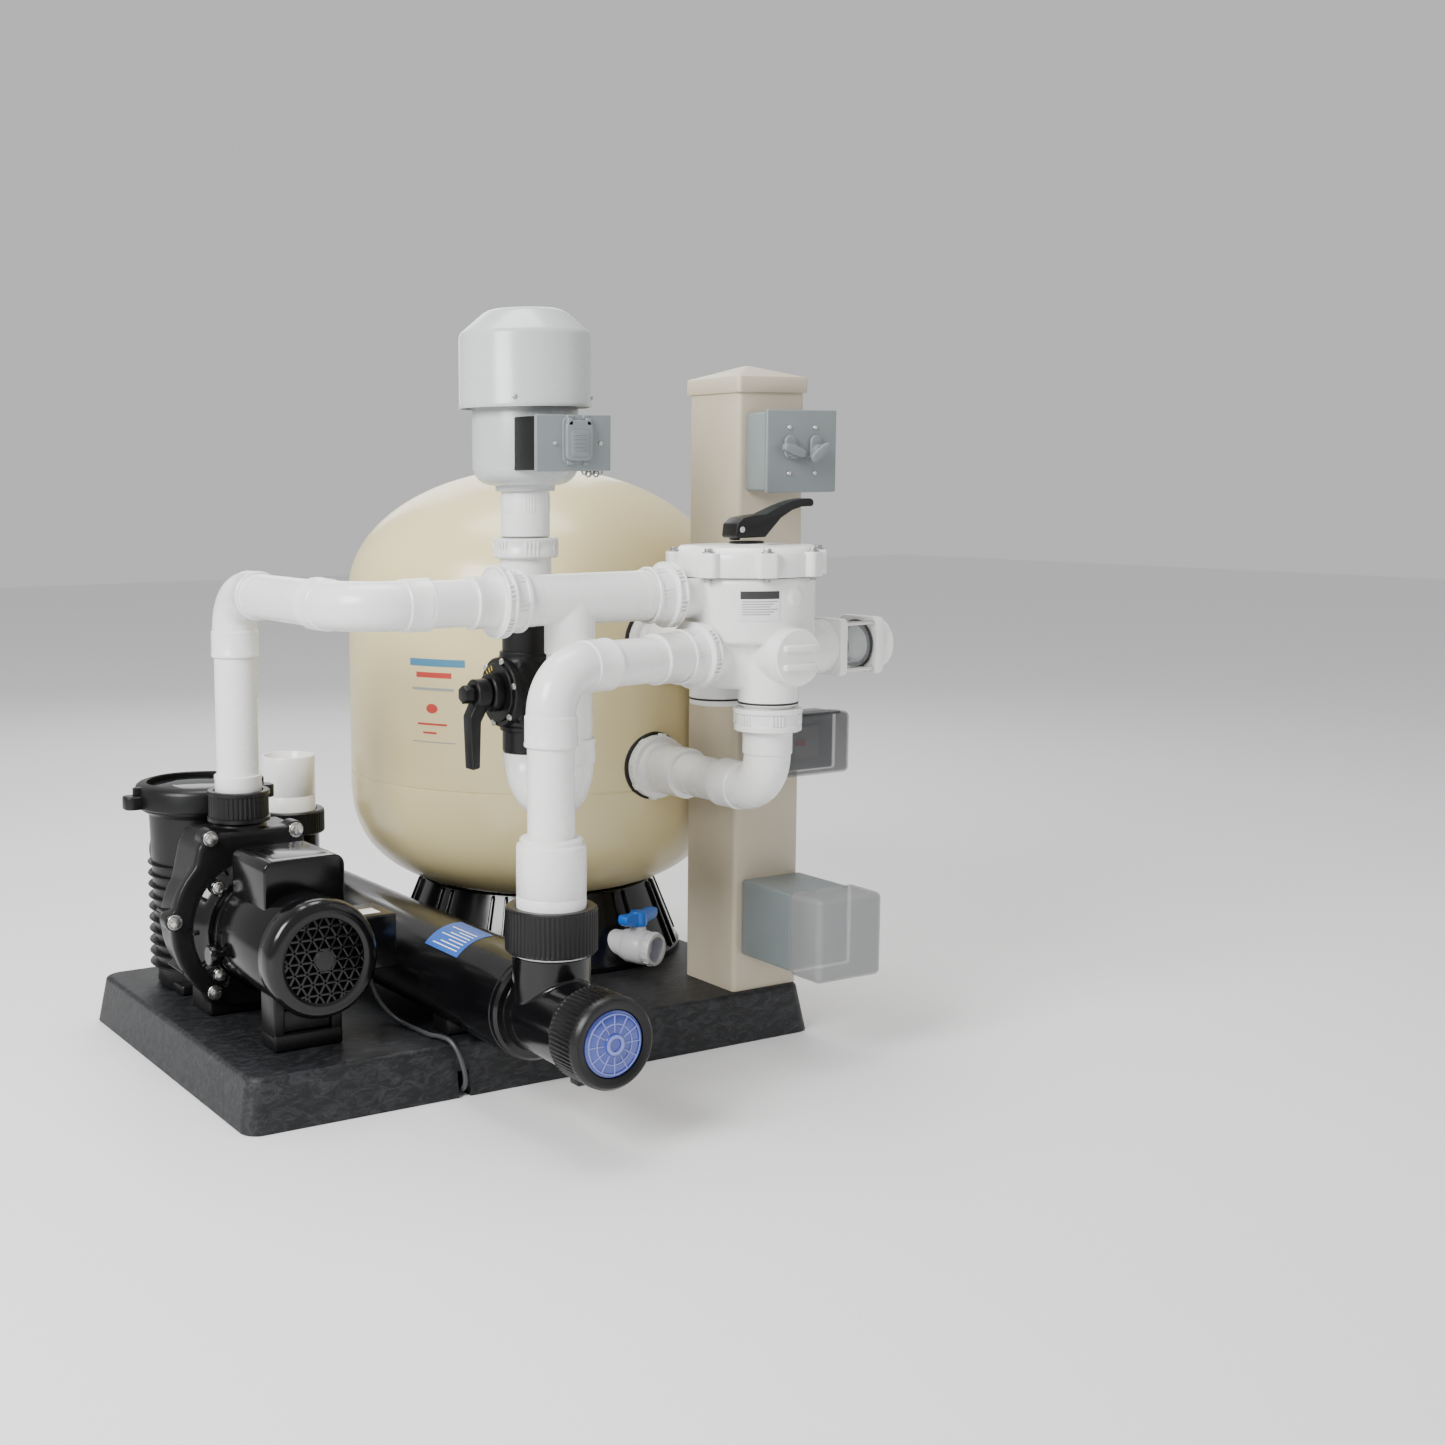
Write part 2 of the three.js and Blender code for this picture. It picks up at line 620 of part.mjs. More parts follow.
function dischargeLine() {
  const { x, riserY } = PUMP;
  const { z } = MANIFOLD;
  const cornerY = manifoldY(x);
  const overPump = (solid) => solid.translate([x, riserY, 0]);
  const crossStart = riserY - RISER_BEND - 30;
  const crossEnd = cornerY + CORNER_BEND + 30;
  const runEnd = (VALVE.x - x) / Math.cos(LEAN) - CORNER_BEND - 30;
  return plumbed(
    placed(length(SOCKET, DISCHARGE_SEAT + 2 * GAP, 412), overPump),
    placed(length(PIPE, 411, z - RISER_BEND - 30), overPump),
    placed(elbow({ bend: RISER_BEND, lowSocket: 38, sideSocket: 38 }), (solid) =>
      solid.rotate([0, 0, -90]).translate([x, riserY, z])),
    placed(length(PIPE, 0, crossStart - crossEnd), (solid) => aim(solid, '-y', x, crossStart, z)),
    placed(elbow({ bend: CORNER_BEND, lowSocket: 38, sideSocket: 38 }), (solid) =>
      solid.rotate([90, 0, 0]).translate([x, cornerY, z])),
    placed(length(PIPE, UNION_TAIL - 5, runEnd), alongManifold),
    placed(length(SOCKET, UNION_SPLIT + GAP, UNION_TAIL), alongManifold),
  );
}

function airTee() {
  const y = manifoldY(BLOWER.x);
  const run = alongManifold(rod(SOCKET, VALVE_SEAT + GAP, UNION_SPLIT));
  const branch = rod(33, BRANCH_BOTTOM, MANIFOLD.z).translate([BLOWER.x, y, 0]);
  const runBore = alongManifold(hole(BORE, VALVE_SEAT - 1, UNION_SPLIT + 1));
  const branchBore = hole(BORE, BRANCH_BOTTOM - 1, MANIFOLD.z).translate([BLOWER.x, y, 0]);
  return cut(join(run, branch), runBore, branchBore);
}

// ---------------------------------------------------------------- multiport valve
const atValve = (solid) => solid.translate([VALVE.x, VALVE.y, 0]);
const VALVE_TOP = 692; // face that carries the lid
const BOTTOM_PORT_Y = -50;
const SPARE_PORT_Y = 60;
const BOTTOM_SEAT = 500;
const RETURN_SEAT = 112; // where the return line meets the valve's port
const PLUG_FACE = 100; // distance of the plug's seat from the valve axis
const FLANGE = { start: 122, end: 148, half: 40 };
const TANK_SIDE_END = -(TANK.y - TANK.radius - 34) + VALVE.y; // minus the distance to the bulkhead

/** A port in the valve's own frame: a rod that leaves the axis along a heading at port height. */
function valvePort(radius, start, end, degrees, z = VALVE.portZ, sides = ROUND) {
  return aim(rod(radius, start, end, sides), 'x').rotate([0, 0, degrees]).translate([0, 0, z]);
}

const valveBore = (radius, start, end, degrees, z = VALVE.portZ) =>
  valvePort(radius, start, end, degrees, z, BORE_SIDES);

function valveBody() {
  const returnDegrees = THREE.MathUtils.radToDeg(RETURN_ANGLE);
  const tankReach = -TANK_SIDE_END - GAP;
  const outer = join(
    rod(VALVE.radius, 600, VALVE_TOP, WIDE),
    rod(99, 680, VALVE_TOP, WIDE),
    turned([[0, 540], [60, 540], [70, 560], [70, 590], [VALVE.radius, 602], [0, 602]], WIDE),
    cut(valvePort(SOCKET, 60, VALVE_SEAT, 180 - MANIFOLD.lean, MANIFOLD.z), rod(120, VALVE_TOP, 720)),
    valvePort(SOCKET, 50, RETURN_SEAT, returnDegrees, VALVE.returnZ),
    valvePort(36, 50, PLUG_FACE, -90),
    valvePort(SOCKET, 50, tankReach, 90),
    valvePort(38, 50, FLANGE.start + 1, 0),
    box(
      [FLANGE.start, -FLANGE.half, VALVE.portZ - FLANGE.half],
      [FLANGE.end, FLANGE.half, VALVE.portZ + FLANGE.half],
    ),
    rod(SOCKET, BOTTOM_SEAT, 560).translate([0, BOTTOM_PORT_Y, 0]),
    rod(40.6, 517, 560).translate([0, BOTTOM_PORT_Y, 0]),
    rod(40.6, 508, 560).translate([0, SPARE_PORT_Y, 0]),
    box([-38, BOTTOM_PORT_Y, 545], [38, SPARE_PORT_Y, 600]),
  );
  const hollow = join(
    rod(81, 612, VALVE_TOP + 1, WIDE),
    rod(50, 562, 613, WIDE),
    valveBore(20, 60, 200, 180 - MANIFOLD.lean, MANIFOLD.z),
    valveBore(BORE, 30, 130, returnDegrees, VALVE.returnZ),
    valveBore(BORE, 30, PLUG_FACE + 1, -90),
    valveBore(BORE, 30, tankReach + 1, 90),
    valveBore(BORE, 30, FLANGE.end + 1, 0),
    hole(BORE, BOTTOM_SEAT - 1, 570).translate([0, BOTTOM_PORT_Y, 0]),
  );
  return atValve(cut(outer, hollow));
}

function valveLid() {
  const seat = VALVE_TOP + GAP;
  const plate = turned([[12, seat], [98, seat], [98, 724], [90, 733], [12, 733], [12, seat]], WIDE);
  const ears = [];
  for (let i = 0; i < 8; i += 1) {
    const angle = ((i + 0.5) / 8) * 2 * Math.PI;
    ears.push(rod(11, seat, 726, SMALL).translate([100 * Math.cos(angle), 100 * Math.sin(angle), 0]));
  }
  return atValve(join(plate, ...ears));
}

function valveRotor() {
  const drum = turned([
    [0, 640], [78, 640], [78, 664], [22, 672], [11, 680], [11, 737], [24, 737], [24, 742], [0, 742],
  ]);
  const knuckle = box([-26, -5, 740], [-14, 5, 754]);
  return atValve(join(drum, knuckle));
}

function valveHandle() {
  const side = [
    [-28, 748], [24, 748], [34, 757], [50, 770], [70, 780], [88, 784], [103, 784],
    [104, 793], [95, 795], [72, 793], [50, 786], [20, 774], [-12, 769], [-26, 762],
  ];
  const lever = extrudedY(side, -17, 17);
  const slot = box([-40, -5.5, 740], [-10, 5.5, 758]);
  return atValve(cut(lever, slot));
}

function wastePlug() {
  return atValve(valvePort(39, PLUG_FACE + GAP, PLUG_FACE + 14, -90));
}

// ---------------------------------------------------------------- return line to the UV unit
const RETURN_NUT = { outer: 45, inner: NUT_BORE, nose: 37, z0: 95, z1: 137 };
const RETURN_BEND = 56;
const COUPLING = { radius: 44.5, top: 378, bottom: 232.6 };
const UV_NUT = { outer: 59, bottom: 232.4, top: 291 };

function alongReturn(solid) {
  const headed = aim(solid, 'x').rotate([0, 0, THREE.MathUtils.radToDeg(RETURN_ANGLE)]);
  return atValve(headed.translate([0, 0, VALVE.returnZ]));
}

function returnLine() {
  const { x, portY } = UV;
  const { returnZ } = VALVE;
  const turnDegrees = THREE.MathUtils.radToDeg(RETURN_ANGLE) + 180;
  const overPort = (solid) => solid.translate([x, portY, 0]);
  const pipes = plumbed(
    placed(length(SOCKET, RETURN_SEAT + GAP, 183), alongReturn),
    placed(length(PIPE, 182, RETURN_SPAN - RETURN_BEND - 30), alongReturn),
    placed(elbow({ bend: RETURN_BEND, lowSocket: 40, sideSocket: 42 }), (solid) =>
      solid.rotate([0, 0, turnDegrees]).translate([x, portY, returnZ])),
    placed(length(PIPE, 361, returnZ - RETURN_BEND - 35), overPort),
  );
  const coupling = turned([
    [39, COUPLING.bottom], [COUPLING.radius, COUPLING.bottom], [COUPLING.radius, 370],
    [40, 372], [40, COUPLING.top],
    [BEND_BORE, COUPLING.top], [BEND_BORE, 362], [39, 358], [39, COUPLING.bottom],
  ], 20);
  return join(pipes, overPort(coupling));
}

// ---------------------------------------------------------------- UV unit
const alongUv = (solid) => aim(solid, 'y', UV.x, 0, UV.z);
const UV_STEP = -414; // where the barrel steps down to its front body
const UV_FRONT_BODY = -542;
const PORT_RADIUS = 50;

function uvBarrel() {
  const { x, radius, back, portY, rearPortY } = UV;
  const outer = alongUv(turned([
    [0, UV_FRONT_BODY], [54, UV_FRONT_BODY], [54, UV_STEP], [radius, UV_STEP],
    [radius, back - 10], [radius - 10, back], [0, back],
  ], WIDE));
  const bore = alongUv(turned([
    [0, UV_FRONT_BODY - 1], [46, UV_FRONT_BODY - 1], [46, UV_STEP + 6], [radius - 6, UV_STEP + 6],
    [radius - 6, back - 14], [0, back - 14],
  ], WIDE));
  const frontPort = rod(PORT_RADIUS, UV.z, UV_NUT.bottom - GAP, WIDE).translate([x, portY, 0]);
  const rearPort = rod(PORT_RADIUS, UV.z, 250, WIDE).translate([x, rearPortY, 0]);
  const saddleTop = UV.z - radius / 2;
  const saddles = [-240, 240].map((y) => box([x - 44, y - 22, PAD.height + GAP], [x + 44, y + 22, saddleTop]));
  const foot = box([x - 9, -534, 76], [x + 9, -514, saddleTop]);
  const frontBore = hole(40, UV.z, 260).translate([x, portY, 0]);
  const rearBore = hole(40, UV.z, 260).translate([x, rearPortY, 0]);
  return cut(join(outer, frontPort, rearPort, ...saddles, foot), bore, frontBore, rearBore);
}

function uvLamp() {
  const lamp = [[0, -578], [30, -578], [30, -566], [17, -563], [17, 370], [12, 377], [0, 377]];
  return alongUv(turned(lamp));
}

function uvEndNut() {
  return alongUv(turned([
    [42, UV.front], [55, UV.front], [59, UV.front + 5], [59, UV_FRONT_BODY - GAP],
    [42, UV_FRONT_BODY - GAP], [42, UV.front],
  ], WIDE));
}

function uvLens() {
  const { front } = UV;
  const lens = [[0, front - 2], [30, front - 2], [41.5, front + 3], [41.5, front + 12], [0, front + 12]];
  return alongUv(turned(lens, WIDE));
}

function uvRearCoupling() {
  const solid = turned([
    [39, 250 + GAP], [58, 250 + GAP], [59, 252], [59, 288],
    [COUPLING.radius, 289], [COUPLING.radius, COUPLING.top],
    [39, COUPLING.top], [39, 250 + GAP],
  ], WIDE);
  return solid.translate([UV.x, UV.rearPortY, 0]);
}

// ---------------------------------------------------------------- line from the valve to the tank
const TANK_BEND = 52;
const BULKHEAD_FACE = TANK.y - TANK.radius - 34;

function tankUnionNut() {
  return tube(46.7, NUT_BORE, 484, 516).translate([VALVE.x, VALVE.y + BOTTOM_PORT_Y, 0]);
}

function tankElbow() {
  const { x } = VALVE;
  const portY = VALVE.y + BOTTOM_PORT_Y;
  const upLeg = BOTTOM_SEAT - GAP - LOWER_BULKHEAD_Z - TANK_BEND;
  const socketEnd = portY + TANK_BEND + 42;
  const towardTank = (solid) => aim(solid, 'y', x, 0, LOWER_BULKHEAD_Z);
  return plumbed(
    placed(elbow({ bend: TANK_BEND, lowSocket: upLeg, sideSocket: 42 }), (solid) =>
      solid.rotate([180, 0, 0]).rotate([0, 0, 90]).translate([x, portY, LOWER_BULKHEAD_Z])),
    placed(length(PIPE, socketEnd - 5, -255), towardTank),
    placed(length(37, -258, BULKHEAD_FACE - GAP), towardTank),
  );
}

function sightGlass() {
  const start = FLANGE.end + GAP;
  const half = FLANGE.half;
  const z = VALVE.portZ;
  const solid = join(
    box([start, -34, z - 34], [201, 34, z + 34]),
    box([199, -half, z - half], [216, half, z + half]),
    aim(rod(36, 210, 236), 'x', 0, 0, z),
  );
  return atValve(cut(solid, aim(rod(BORE, start - 1, 240), 'x', 0, 0, z)));
}

// ---------------------------------------------------------------- blower
const atBlower = (solid) => solid.translate([BLOWER.x, BLOWER.y, 0]);
const HOUSING_RADIUS = 71;
const UNION_TOP = 747;

function blowerCap() {
  return atBlower(turned([
    [86, 918], [89, 918], [89, 1014], [86, 1019], [54, 1044], [44, 1048], [0, 1048],
    [0, 1044], [43, 1044], [52, 1041], [83, 1017], [86, 1012], [86, 918],
  ], WIDE));
}

function blowerHousing() {
  const bowl = turned([
    [HOUSING_RADIUS, 838], [HOUSING_RADIUS, 985], [60, 990], [52, 990], [66, 980], [66, 842],
    [62, 830], [52, 822], [40, 818], [24, 818], [24, UNION_TOP + GAP], [33, UNION_TOP + GAP], [33, 809],
    [40, 809], [40, 812], [54, 815], [64, 824], [HOUSING_RADIUS, 838],
  ], WIDE);
  const tabs = [0, 120, 240].map((degrees) => box([68, -8, 926], [84, 8, 932]).rotate([0, 0, degrees + 30]));
  return atBlower(join(bowl, ...tabs));
}

function blowerRotor() {
  return atBlower(turned([
    [0, 832], [8, 832], [8, 846], [54, 846], [54, 872], [8, 876],
    [8, 900], [42, 904], [42, 960], [8, 964], [8, 976], [0, 976],
  ]));
}

const WIRING = { x0: -66, x1: 45, y: -368, z0: 836, z1: 905, plate: 6, lip: 2 };

function blowerWiringBox() {
  const { x0, x1, y, z0, z1, plate, lip } = WIRING;
  const block = box([x0, y, z0], [x1, BLOWER.y - 30, z1]);
  const cover = box([x0 - lip, y - plate, z0 - lip], [x1 + lip, y, z1 + lip]);
  const pocket = box([x0 + 4, y - 1, z0 + 4], [x1 - 4, BLOWER.y - 74, z1 - 4]);
  const mouth = box([-20, y - plate - 1, 856], [8, y + 1, 892]);
  const body = cut(join(block, cover), atBlower(rod(HOUSING_RADIUS + GAP, 800, 930, WIDE)));
  return cut(body, pocket, mouth);
}

function blowerFlipLid() {
  const face = WIRING.y - WIRING.plate - GAP;
  return box([-29, face - 9, 846], [17, face, 903]);
}

function airPipe() {
  return atBlower(turned([
    [24, 640 + GAP], [PIPE, 640 + GAP], [PIPE, 690], [35, 694], [35, 719], [44, 721], [44, UNION_TOP],
    [24, UNION_TOP], [24, 640 + GAP],
  ]));
}

/** Lays a solid made along +Z on the air valve's stem. */
const alongStem = (solid) => aim(solid, '-x', BLOWER.x, BLOWER.y, AIR_VALVE_Z);

function airValveBody() {
  const outer = join(
    atBlower(turned([
      [0, 456], [32.5, 456], [32.5, 491], [40, 493], [40, 588], [32.5, 590], [32.5, 640], [0, 640],
    ])),
    alongStem(rod(40, 0, 44)),
    alongStem(rod(47, 32, 46)),
    alongStem(rod(26, 40, 62)),
  );
  return cut(outer, atBlower(rod(24, 455, 641)), alongStem(rod(10, 0, 70, SMALL)));
}

function airValveLever() {
  const ball = toSolid(new THREE.SphereGeometry(22, 12, 8));
  const waterway = rod(15, -30, 30, SMALL);
  const stem = aim(rod(9.4, 14, 70, SMALL), '-x');
  const hub = aim(rod(20, 62 + GAP, 84), '-x');
  const knob = aim(rod(13, 80, 100, 6), '-x');
  const arm = extrudedY([
    [-66, 14], [-66, -20], [-76, -38], [-76, -102], [-92, -102], [-94, -30], [-84, -12], [-84, 14],
  ], -11, 11);
  const solid = join(cut(ball, waterway), stem, hub, knob, arm);
  return solid.translate([BLOWER.x, BLOWER.y, AIR_VALVE_Z]);
}

function airUBend() {
  const z = U_BEND_Z;
  const frontY = manifoldY(BLOWER.x);
  const bend = (BLOWER.y - frontY) / 2;
  const socketTop = 488;
  const turnDown = (radius, sides) => bentBar({ radius, bend, sweep: Math.PI, steps: 10, sides })
    .rotate([0, 0, 90])
    .rotate([180, 0, 0])
    .translate([BLOWER.x, BLOWER.y, z]);
  const rearLeg = rod(BEND, z - 0.5, z + 1 - GAP).translate([BLOWER.x, BLOWER.y, 0]);
  const frontLeg = rod(SOCKET, z - 2, socketTop).translate([BLOWER.x, frontY, 0]);
  const riser = rod(PIPE, socketTop - 1, BRANCH_BOTTOM - GAP).translate([BLOWER.x, frontY, 0]);
  const rearBore = hole(BORE, z - 0.5, z + 5).translate([BLOWER.x, BLOWER.y, 0]);
  const frontBore = hole(BORE, z - 0.5, BRANCH_BOTTOM + 1).translate([BLOWER.x, frontY, 0]);
  const outer = join(turnDown(BEND, ROUND), rearLeg, frontLeg, riser);
  return cut(outer, turnDown(BEND_BORE, BORE_SIDES), rearBore, frontBore);
}

// ---------------------------------------------------------------- boxes on the post
const POST_FACE = POST.y - POST.side / 2 - GAP;
const SWITCH = { x0: 336, x1: 455, y: -331, z0: 805, z1: 915, face: -337 };
const TOGGLE_Z = 860;
const TOGGLES = { left: 372, right: 418 };

function switchBox() {
  const body = box([SWITCH.x0, SWITCH.y, SWITCH.z0], [SWITCH.x1, POST_FACE, SWITCH.z1]);
  const cover = box([SWITCH.x0 - 3, SWITCH.face, SWITCH.z0 - 3], [SWITCH.x1 + 3, SWITCH.y, SWITCH.z1 + 3]);
  const inside = box(
    [SWITCH.x0 + 4, SWITCH.y - 1, SWITCH.z0 + 4],
    [SWITCH.x1 - 4, POST_FACE - 4, SWITCH.z1 - 4],
  );
  const wireHole = aim(rod(9, -8, 8, SMALL), 'y', POST.x, POST_FACE, WIRE_HOLES[0]);
  const shaftHole = rod(4.5, -20, 20, SMALL);
  const shafts = Object.values(TOGGLES).map((x) => aim(shaftHole, 'y', x, SWITCH.face, TOGGLE_Z));
  return cut(join(body, cover), inside, wireHole, ...shafts);
}

/** A paddle that turns on a shaft through the cover; degrees is its lean at rest. */
function toggle(x, degrees) {
  const boss = aim(rod(9, -12, -GAP, SMALL), 'y');
  const shaft = aim(rod(4, -1, 22, SMALL), 'y');
  const paddle = box([-22, -20, -5], [16, -10, 5]).rotate([0, degrees, 0]);
  return join(boss, shaft, paddle).translate([x, SWITCH.face, TOGGLE_Z]);
}

const OUTLET = { x0: 341, x1: 472, y: -325, z0: 401, z1: 485 };
const TIMER = { x0: 338, x1: 445, y: -395, z0: 128, z1: 240 };

/** A wiring box that is open at its front, with a wire hole in its back. */
function openBox({ x0, x1, y, z0, z1 }, holeZ) {
  const wall = 4;
  const body = box([x0, y, z0], [x1, POST_FACE, z1]);
  const inside = box([x0 + wall, y - 1, z0 + wall], [x1 - wall, POST_FACE - wall, z1 - wall]);
  const wireHole = aim(rod(9, -8, 8, SMALL), 'y', POST.x, POST_FACE, holeZ);
  return cut(body, inside, wireHole);
}

/** A hollow see-through lid that closes a wiring box from the front. */
function inUseCover({ x0, x1, y, z0, z1 }, depth, lip) {
  const wall = 3;
  const back = y - GAP;
  const outer = (inset) => [
    [x0 - lip + inset, z0 - lip + inset], [x1 + lip - inset, z0 - lip + inset],
    [x1 + lip - inset, z1 + lip - inset], [x0 - lip + inset, z1 + lip - inset],
  ];
  const shell = extrudedY(outer(0), back - depth, back);
  const hollow = extrudedY(outer(wall), back - depth + wall, back + 1);
  return cut(shell, hollow);
}

// ---------------------------------------------------------------- motor cord
function motorCord() {
  const points = CORD_ROUTE.map((point) => new THREE.Vector3(...point));
  const path = new THREE.CatmullRomCurve3(points, false, 'centripetal');
  const shape = new THREE.Shape();
  for (let i = 0; i < 8; i += 1) {
    const angle = (i / 8) * 2 * Math.PI;
    const point = [CORD_RADIUS * Math.cos(angle), CORD_RADIUS * Math.sin(angle)];
    if (i === 0) shape.moveTo(...point);
    else shape.lineTo(...point);
  }
  return toSolid(new THREE.ExtrudeGeometry(shape, { steps: 32, bevelEnabled: false, extrudePath: path }));
}

// ---------------------------------------------------------------- assembly
piece('base_pad', basePad(), COLORS.pad);
piece('post', post(), COLORS.post);
piece('post_cap', postCap(), COLORS.post);

piece('tank_shell', tankShell(), COLORS.tank);
piece('tank_skirt', tankSkirt(), COLORS.black);
piece('upper_bulkhead', bulkhead(VALVE.portZ), COLORS.pvc);
piece('lower_bulkhead', bulkhead(LOWER_BULKHEAD_Z), COLORS.pvc);
piece('upper_diffuser', upperDiffuser(), COLORS.pvc);
piece('lower_laterals', lowerLaterals(), COLORS.pvc);
piece('drain_body', drainBody(), COLORS.pvc);
piece('drain_handle', drainHandle(), COLORS.blue);

piece('strainer_pot', strainerPot(), COLORS.black);
piece('strainer_basket', strainerBasket(), COLORS.pvc);
piece('lid_ring', lidRing(), COLORS.black);
piece('strainer_lid', strainerLid(), COLORS.clear);
piece('volute', volute(), COLORS.black);
piece('seal_plate', sealPlate(), COLORS.black);
piece('motor_shell', motorShell(), COLORS.motor);
piece('fan_cover', fanCover(), COLORS.motor);
piece('pump_rotor', pumpRotor(), COLORS.steel);
piece('capacitor_cover', capacitorCover(), COLORS.motor);
piece('junction_box', junctionBox(), COLORS.motor);
piece('discharge_nut', dischargeNut(), COLORS.black);

piece('discharge_line', dischargeLine(), COLORS.pvc);
piece('manifold_union_nut', alongManifold(taperedNut(UNION_NUT)), COLORS.pvc);
piece('air_tee', airTee(), COLORS.pvc);
piece('valve_union_nut', alongManifold(taperedNut(VALVE_NUT)), COLORS.pvc);

piece('valve_body', valveBody(), COLORS.valve);
piece('valve_lid', valveLid(), COLORS.valve);
piece('valve_rotor', valveRotor(), COLORS.valve);
piece('valve_handle', valveHandle(), COLORS.black);
piece('waste_plug', wastePlug(), COLORS.valve);

piece('return_union_nut', alongReturn(taperedNut(RETURN_NUT)), COLORS.pvc);
piece('return_line', returnLine(), COLORS.pvc);
piece('uv_port_nut', tube(UV_NUT.outer, COUPLING.radius + 2 * GAP, UV_NUT.bottom, UV_NUT.top, WIDE)
  .translate([UV.x, UV.portY, 0]), COLORS.black);
piece('uv_barrel', uvBarrel(), COLORS.black);
piece('uv_lamp', uvLamp(), COLORS.glass);
piece('uv_end_nut', uvEndNut(), COLORS.black);
piece('uv_lens', uvLens(), COLORS.lens);
piece('uv_rear_coupling', uvRearCoupling(), COLORS.pvc);

piece('tank_union_nut', tankUnionNut(), COLORS.pvc);
piece('tank_elbow', tankElbow(), COLORS.pvc);
piece('sight_glass', sightGlass(), COLORS.glass);

piece('blower_cap', blowerCap(), COLORS.blower);
piece('blower_housing', blowerHousing(), COLORS.blower);
piece('blower_rotor', blowerRotor(), COLORS.steel);
piece('blower_wiring_box', blowerWiringBox(), COLORS.box);
piece('blower_flip_lid', blowerFlipLid(), COLORS.box);
piece('air_pipe', airPipe(), COLORS.pvc);
piece('air_valve_body', airValveBody(), COLORS.black);
piece('air_valve_lever', airValveLever(), COLORS.black);
piece('air_u_bend', airUBend(), COLORS.pvc);

piece('switch_box', switchBox(), COLORS.box);
piece('toggle_left', toggle(TOGGLES.left, 18), COLORS.box);
piece('toggle_right', toggle(TOGGLES.right, -35), COLORS.box);
piece('outlet_box', openBox(OUTLET, WIRE_HOLES[1]), COLORS.box);
piece('outlet_cover', inUseCover(OUTLET, 35, 3), COLORS.clear);
piece('timer_box', openBox(TIMER, WIRE_HOLES[2]), COLORS.box);
piece('timer_cover', inUseCover(TIMER, 67, 4), COLORS.clear);
piece('motor_cord', motorCord(), COLORS.cord);

export default filter;
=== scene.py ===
"""Looks of a pressurized pond filter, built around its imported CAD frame.

Shapes are written in millimetres in the frame of the CAD model (+X right along the front edge of the pad,
+Y to the back, +Z up) and become metres when a piece is added.
"""
import math

import bmesh
import bpy
from mathutils import Matrix, Vector


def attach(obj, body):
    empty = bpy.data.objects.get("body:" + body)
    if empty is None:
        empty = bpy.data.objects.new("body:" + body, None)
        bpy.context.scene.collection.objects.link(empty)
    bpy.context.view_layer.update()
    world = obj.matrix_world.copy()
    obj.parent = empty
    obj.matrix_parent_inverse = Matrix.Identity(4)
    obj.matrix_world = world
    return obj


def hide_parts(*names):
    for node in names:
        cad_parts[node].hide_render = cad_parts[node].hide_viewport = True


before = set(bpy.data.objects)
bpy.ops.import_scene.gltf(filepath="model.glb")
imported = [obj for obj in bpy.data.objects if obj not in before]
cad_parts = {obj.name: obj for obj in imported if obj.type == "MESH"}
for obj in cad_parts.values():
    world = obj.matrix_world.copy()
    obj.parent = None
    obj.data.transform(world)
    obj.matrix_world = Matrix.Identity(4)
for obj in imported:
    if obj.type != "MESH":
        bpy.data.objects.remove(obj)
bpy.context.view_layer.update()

MM = 0.001
ROUND = 64

# ---------------------------------------------------------------- layout, shared with the CAD model
TANK = {"x": 240, "y": 130, "radius": 300, "seam": 365, "bottom": 172, "shoulder": 650, "top": 842}
POST = {"x": 384, "y": -225, "side": 118, "top": 960}
VALVE = {"x": 261, "y": -385, "radius": 93, "port": 588, "return": 589, "bottom_y": -435, "spare_y": -325}
PUMP = {"x": -326, "z": 205, "riser_y": 18, "pot_y": 172}
MANIFOLD_Z = 670
MANIFOLD_LEAN = 2.15
UV = {"x": -99, "z": 147.5, "radius": 68, "port_y": -458, "rear_y": 357, "front": -602, "back": 427}
BLOWER = {"x": -18, "y": -265}
DRAIN = {"x": 261, "y": -93, "z": 112, "heading": -70}
RETURN_HEADING = math.degrees(math.atan2(UV["port_y"] - VALVE["y"], UV["x"] - VALVE["x"]))
RETURN_SPAN = math.hypot(UV["port_y"] - VALVE["y"], UV["x"] - VALVE["x"])
MANIFOLD_Y = VALVE["y"] + (VALVE["x"] - BLOWER["x"]) * math.tan(math.radians(MANIFOLD_LEAN))
CORNER_Y = VALVE["y"] + (VALVE["x"] - PUMP["x"]) * math.tan(math.radians(MANIFOLD_LEAN))

PIPE = 30.15
SOCKET = 34
BEND = 31.5
PAD_TOP = 72


# ---------------------------------------------------------------- camera
def make_camera():
    """The camera of the reference view: its place, its heading, and a lens shift for the framing."""
    place = Vector((-1.2999, -2.3726, 0.8262))
    yaw, pitch, roll = math.radians(28.51), math.radians(-7.09), math.radians(-0.55)
    forward = Vector((math.sin(yaw) * math.cos(pitch), math.cos(yaw) * math.cos(pitch), math.sin(pitch)))
    right = Vector((math.cos(yaw), -math.sin(yaw), 0.0))
    up = right.cross(forward)
    turned_right = math.cos(roll) * right + math.sin(roll) * up
    turned_up = turned_right.cross(forward)
    data = bpy.data.cameras.new("camera")
    data.lens = 45.43
    data.sensor_width = 36.0
    data.shift_x = 0.1972
    data.shift_y = -0.0116
    data.clip_end = 50.0
    camera = bpy.data.objects.new("camera", data)
    rotation = Matrix((turned_right, turned_up, -forward)).transposed().to_4x4()
    camera.matrix_world = Matrix.Translation(place) @ rotation
    bpy.context.scene.collection.objects.link(camera)
    bpy.context.scene.camera = camera


make_camera()


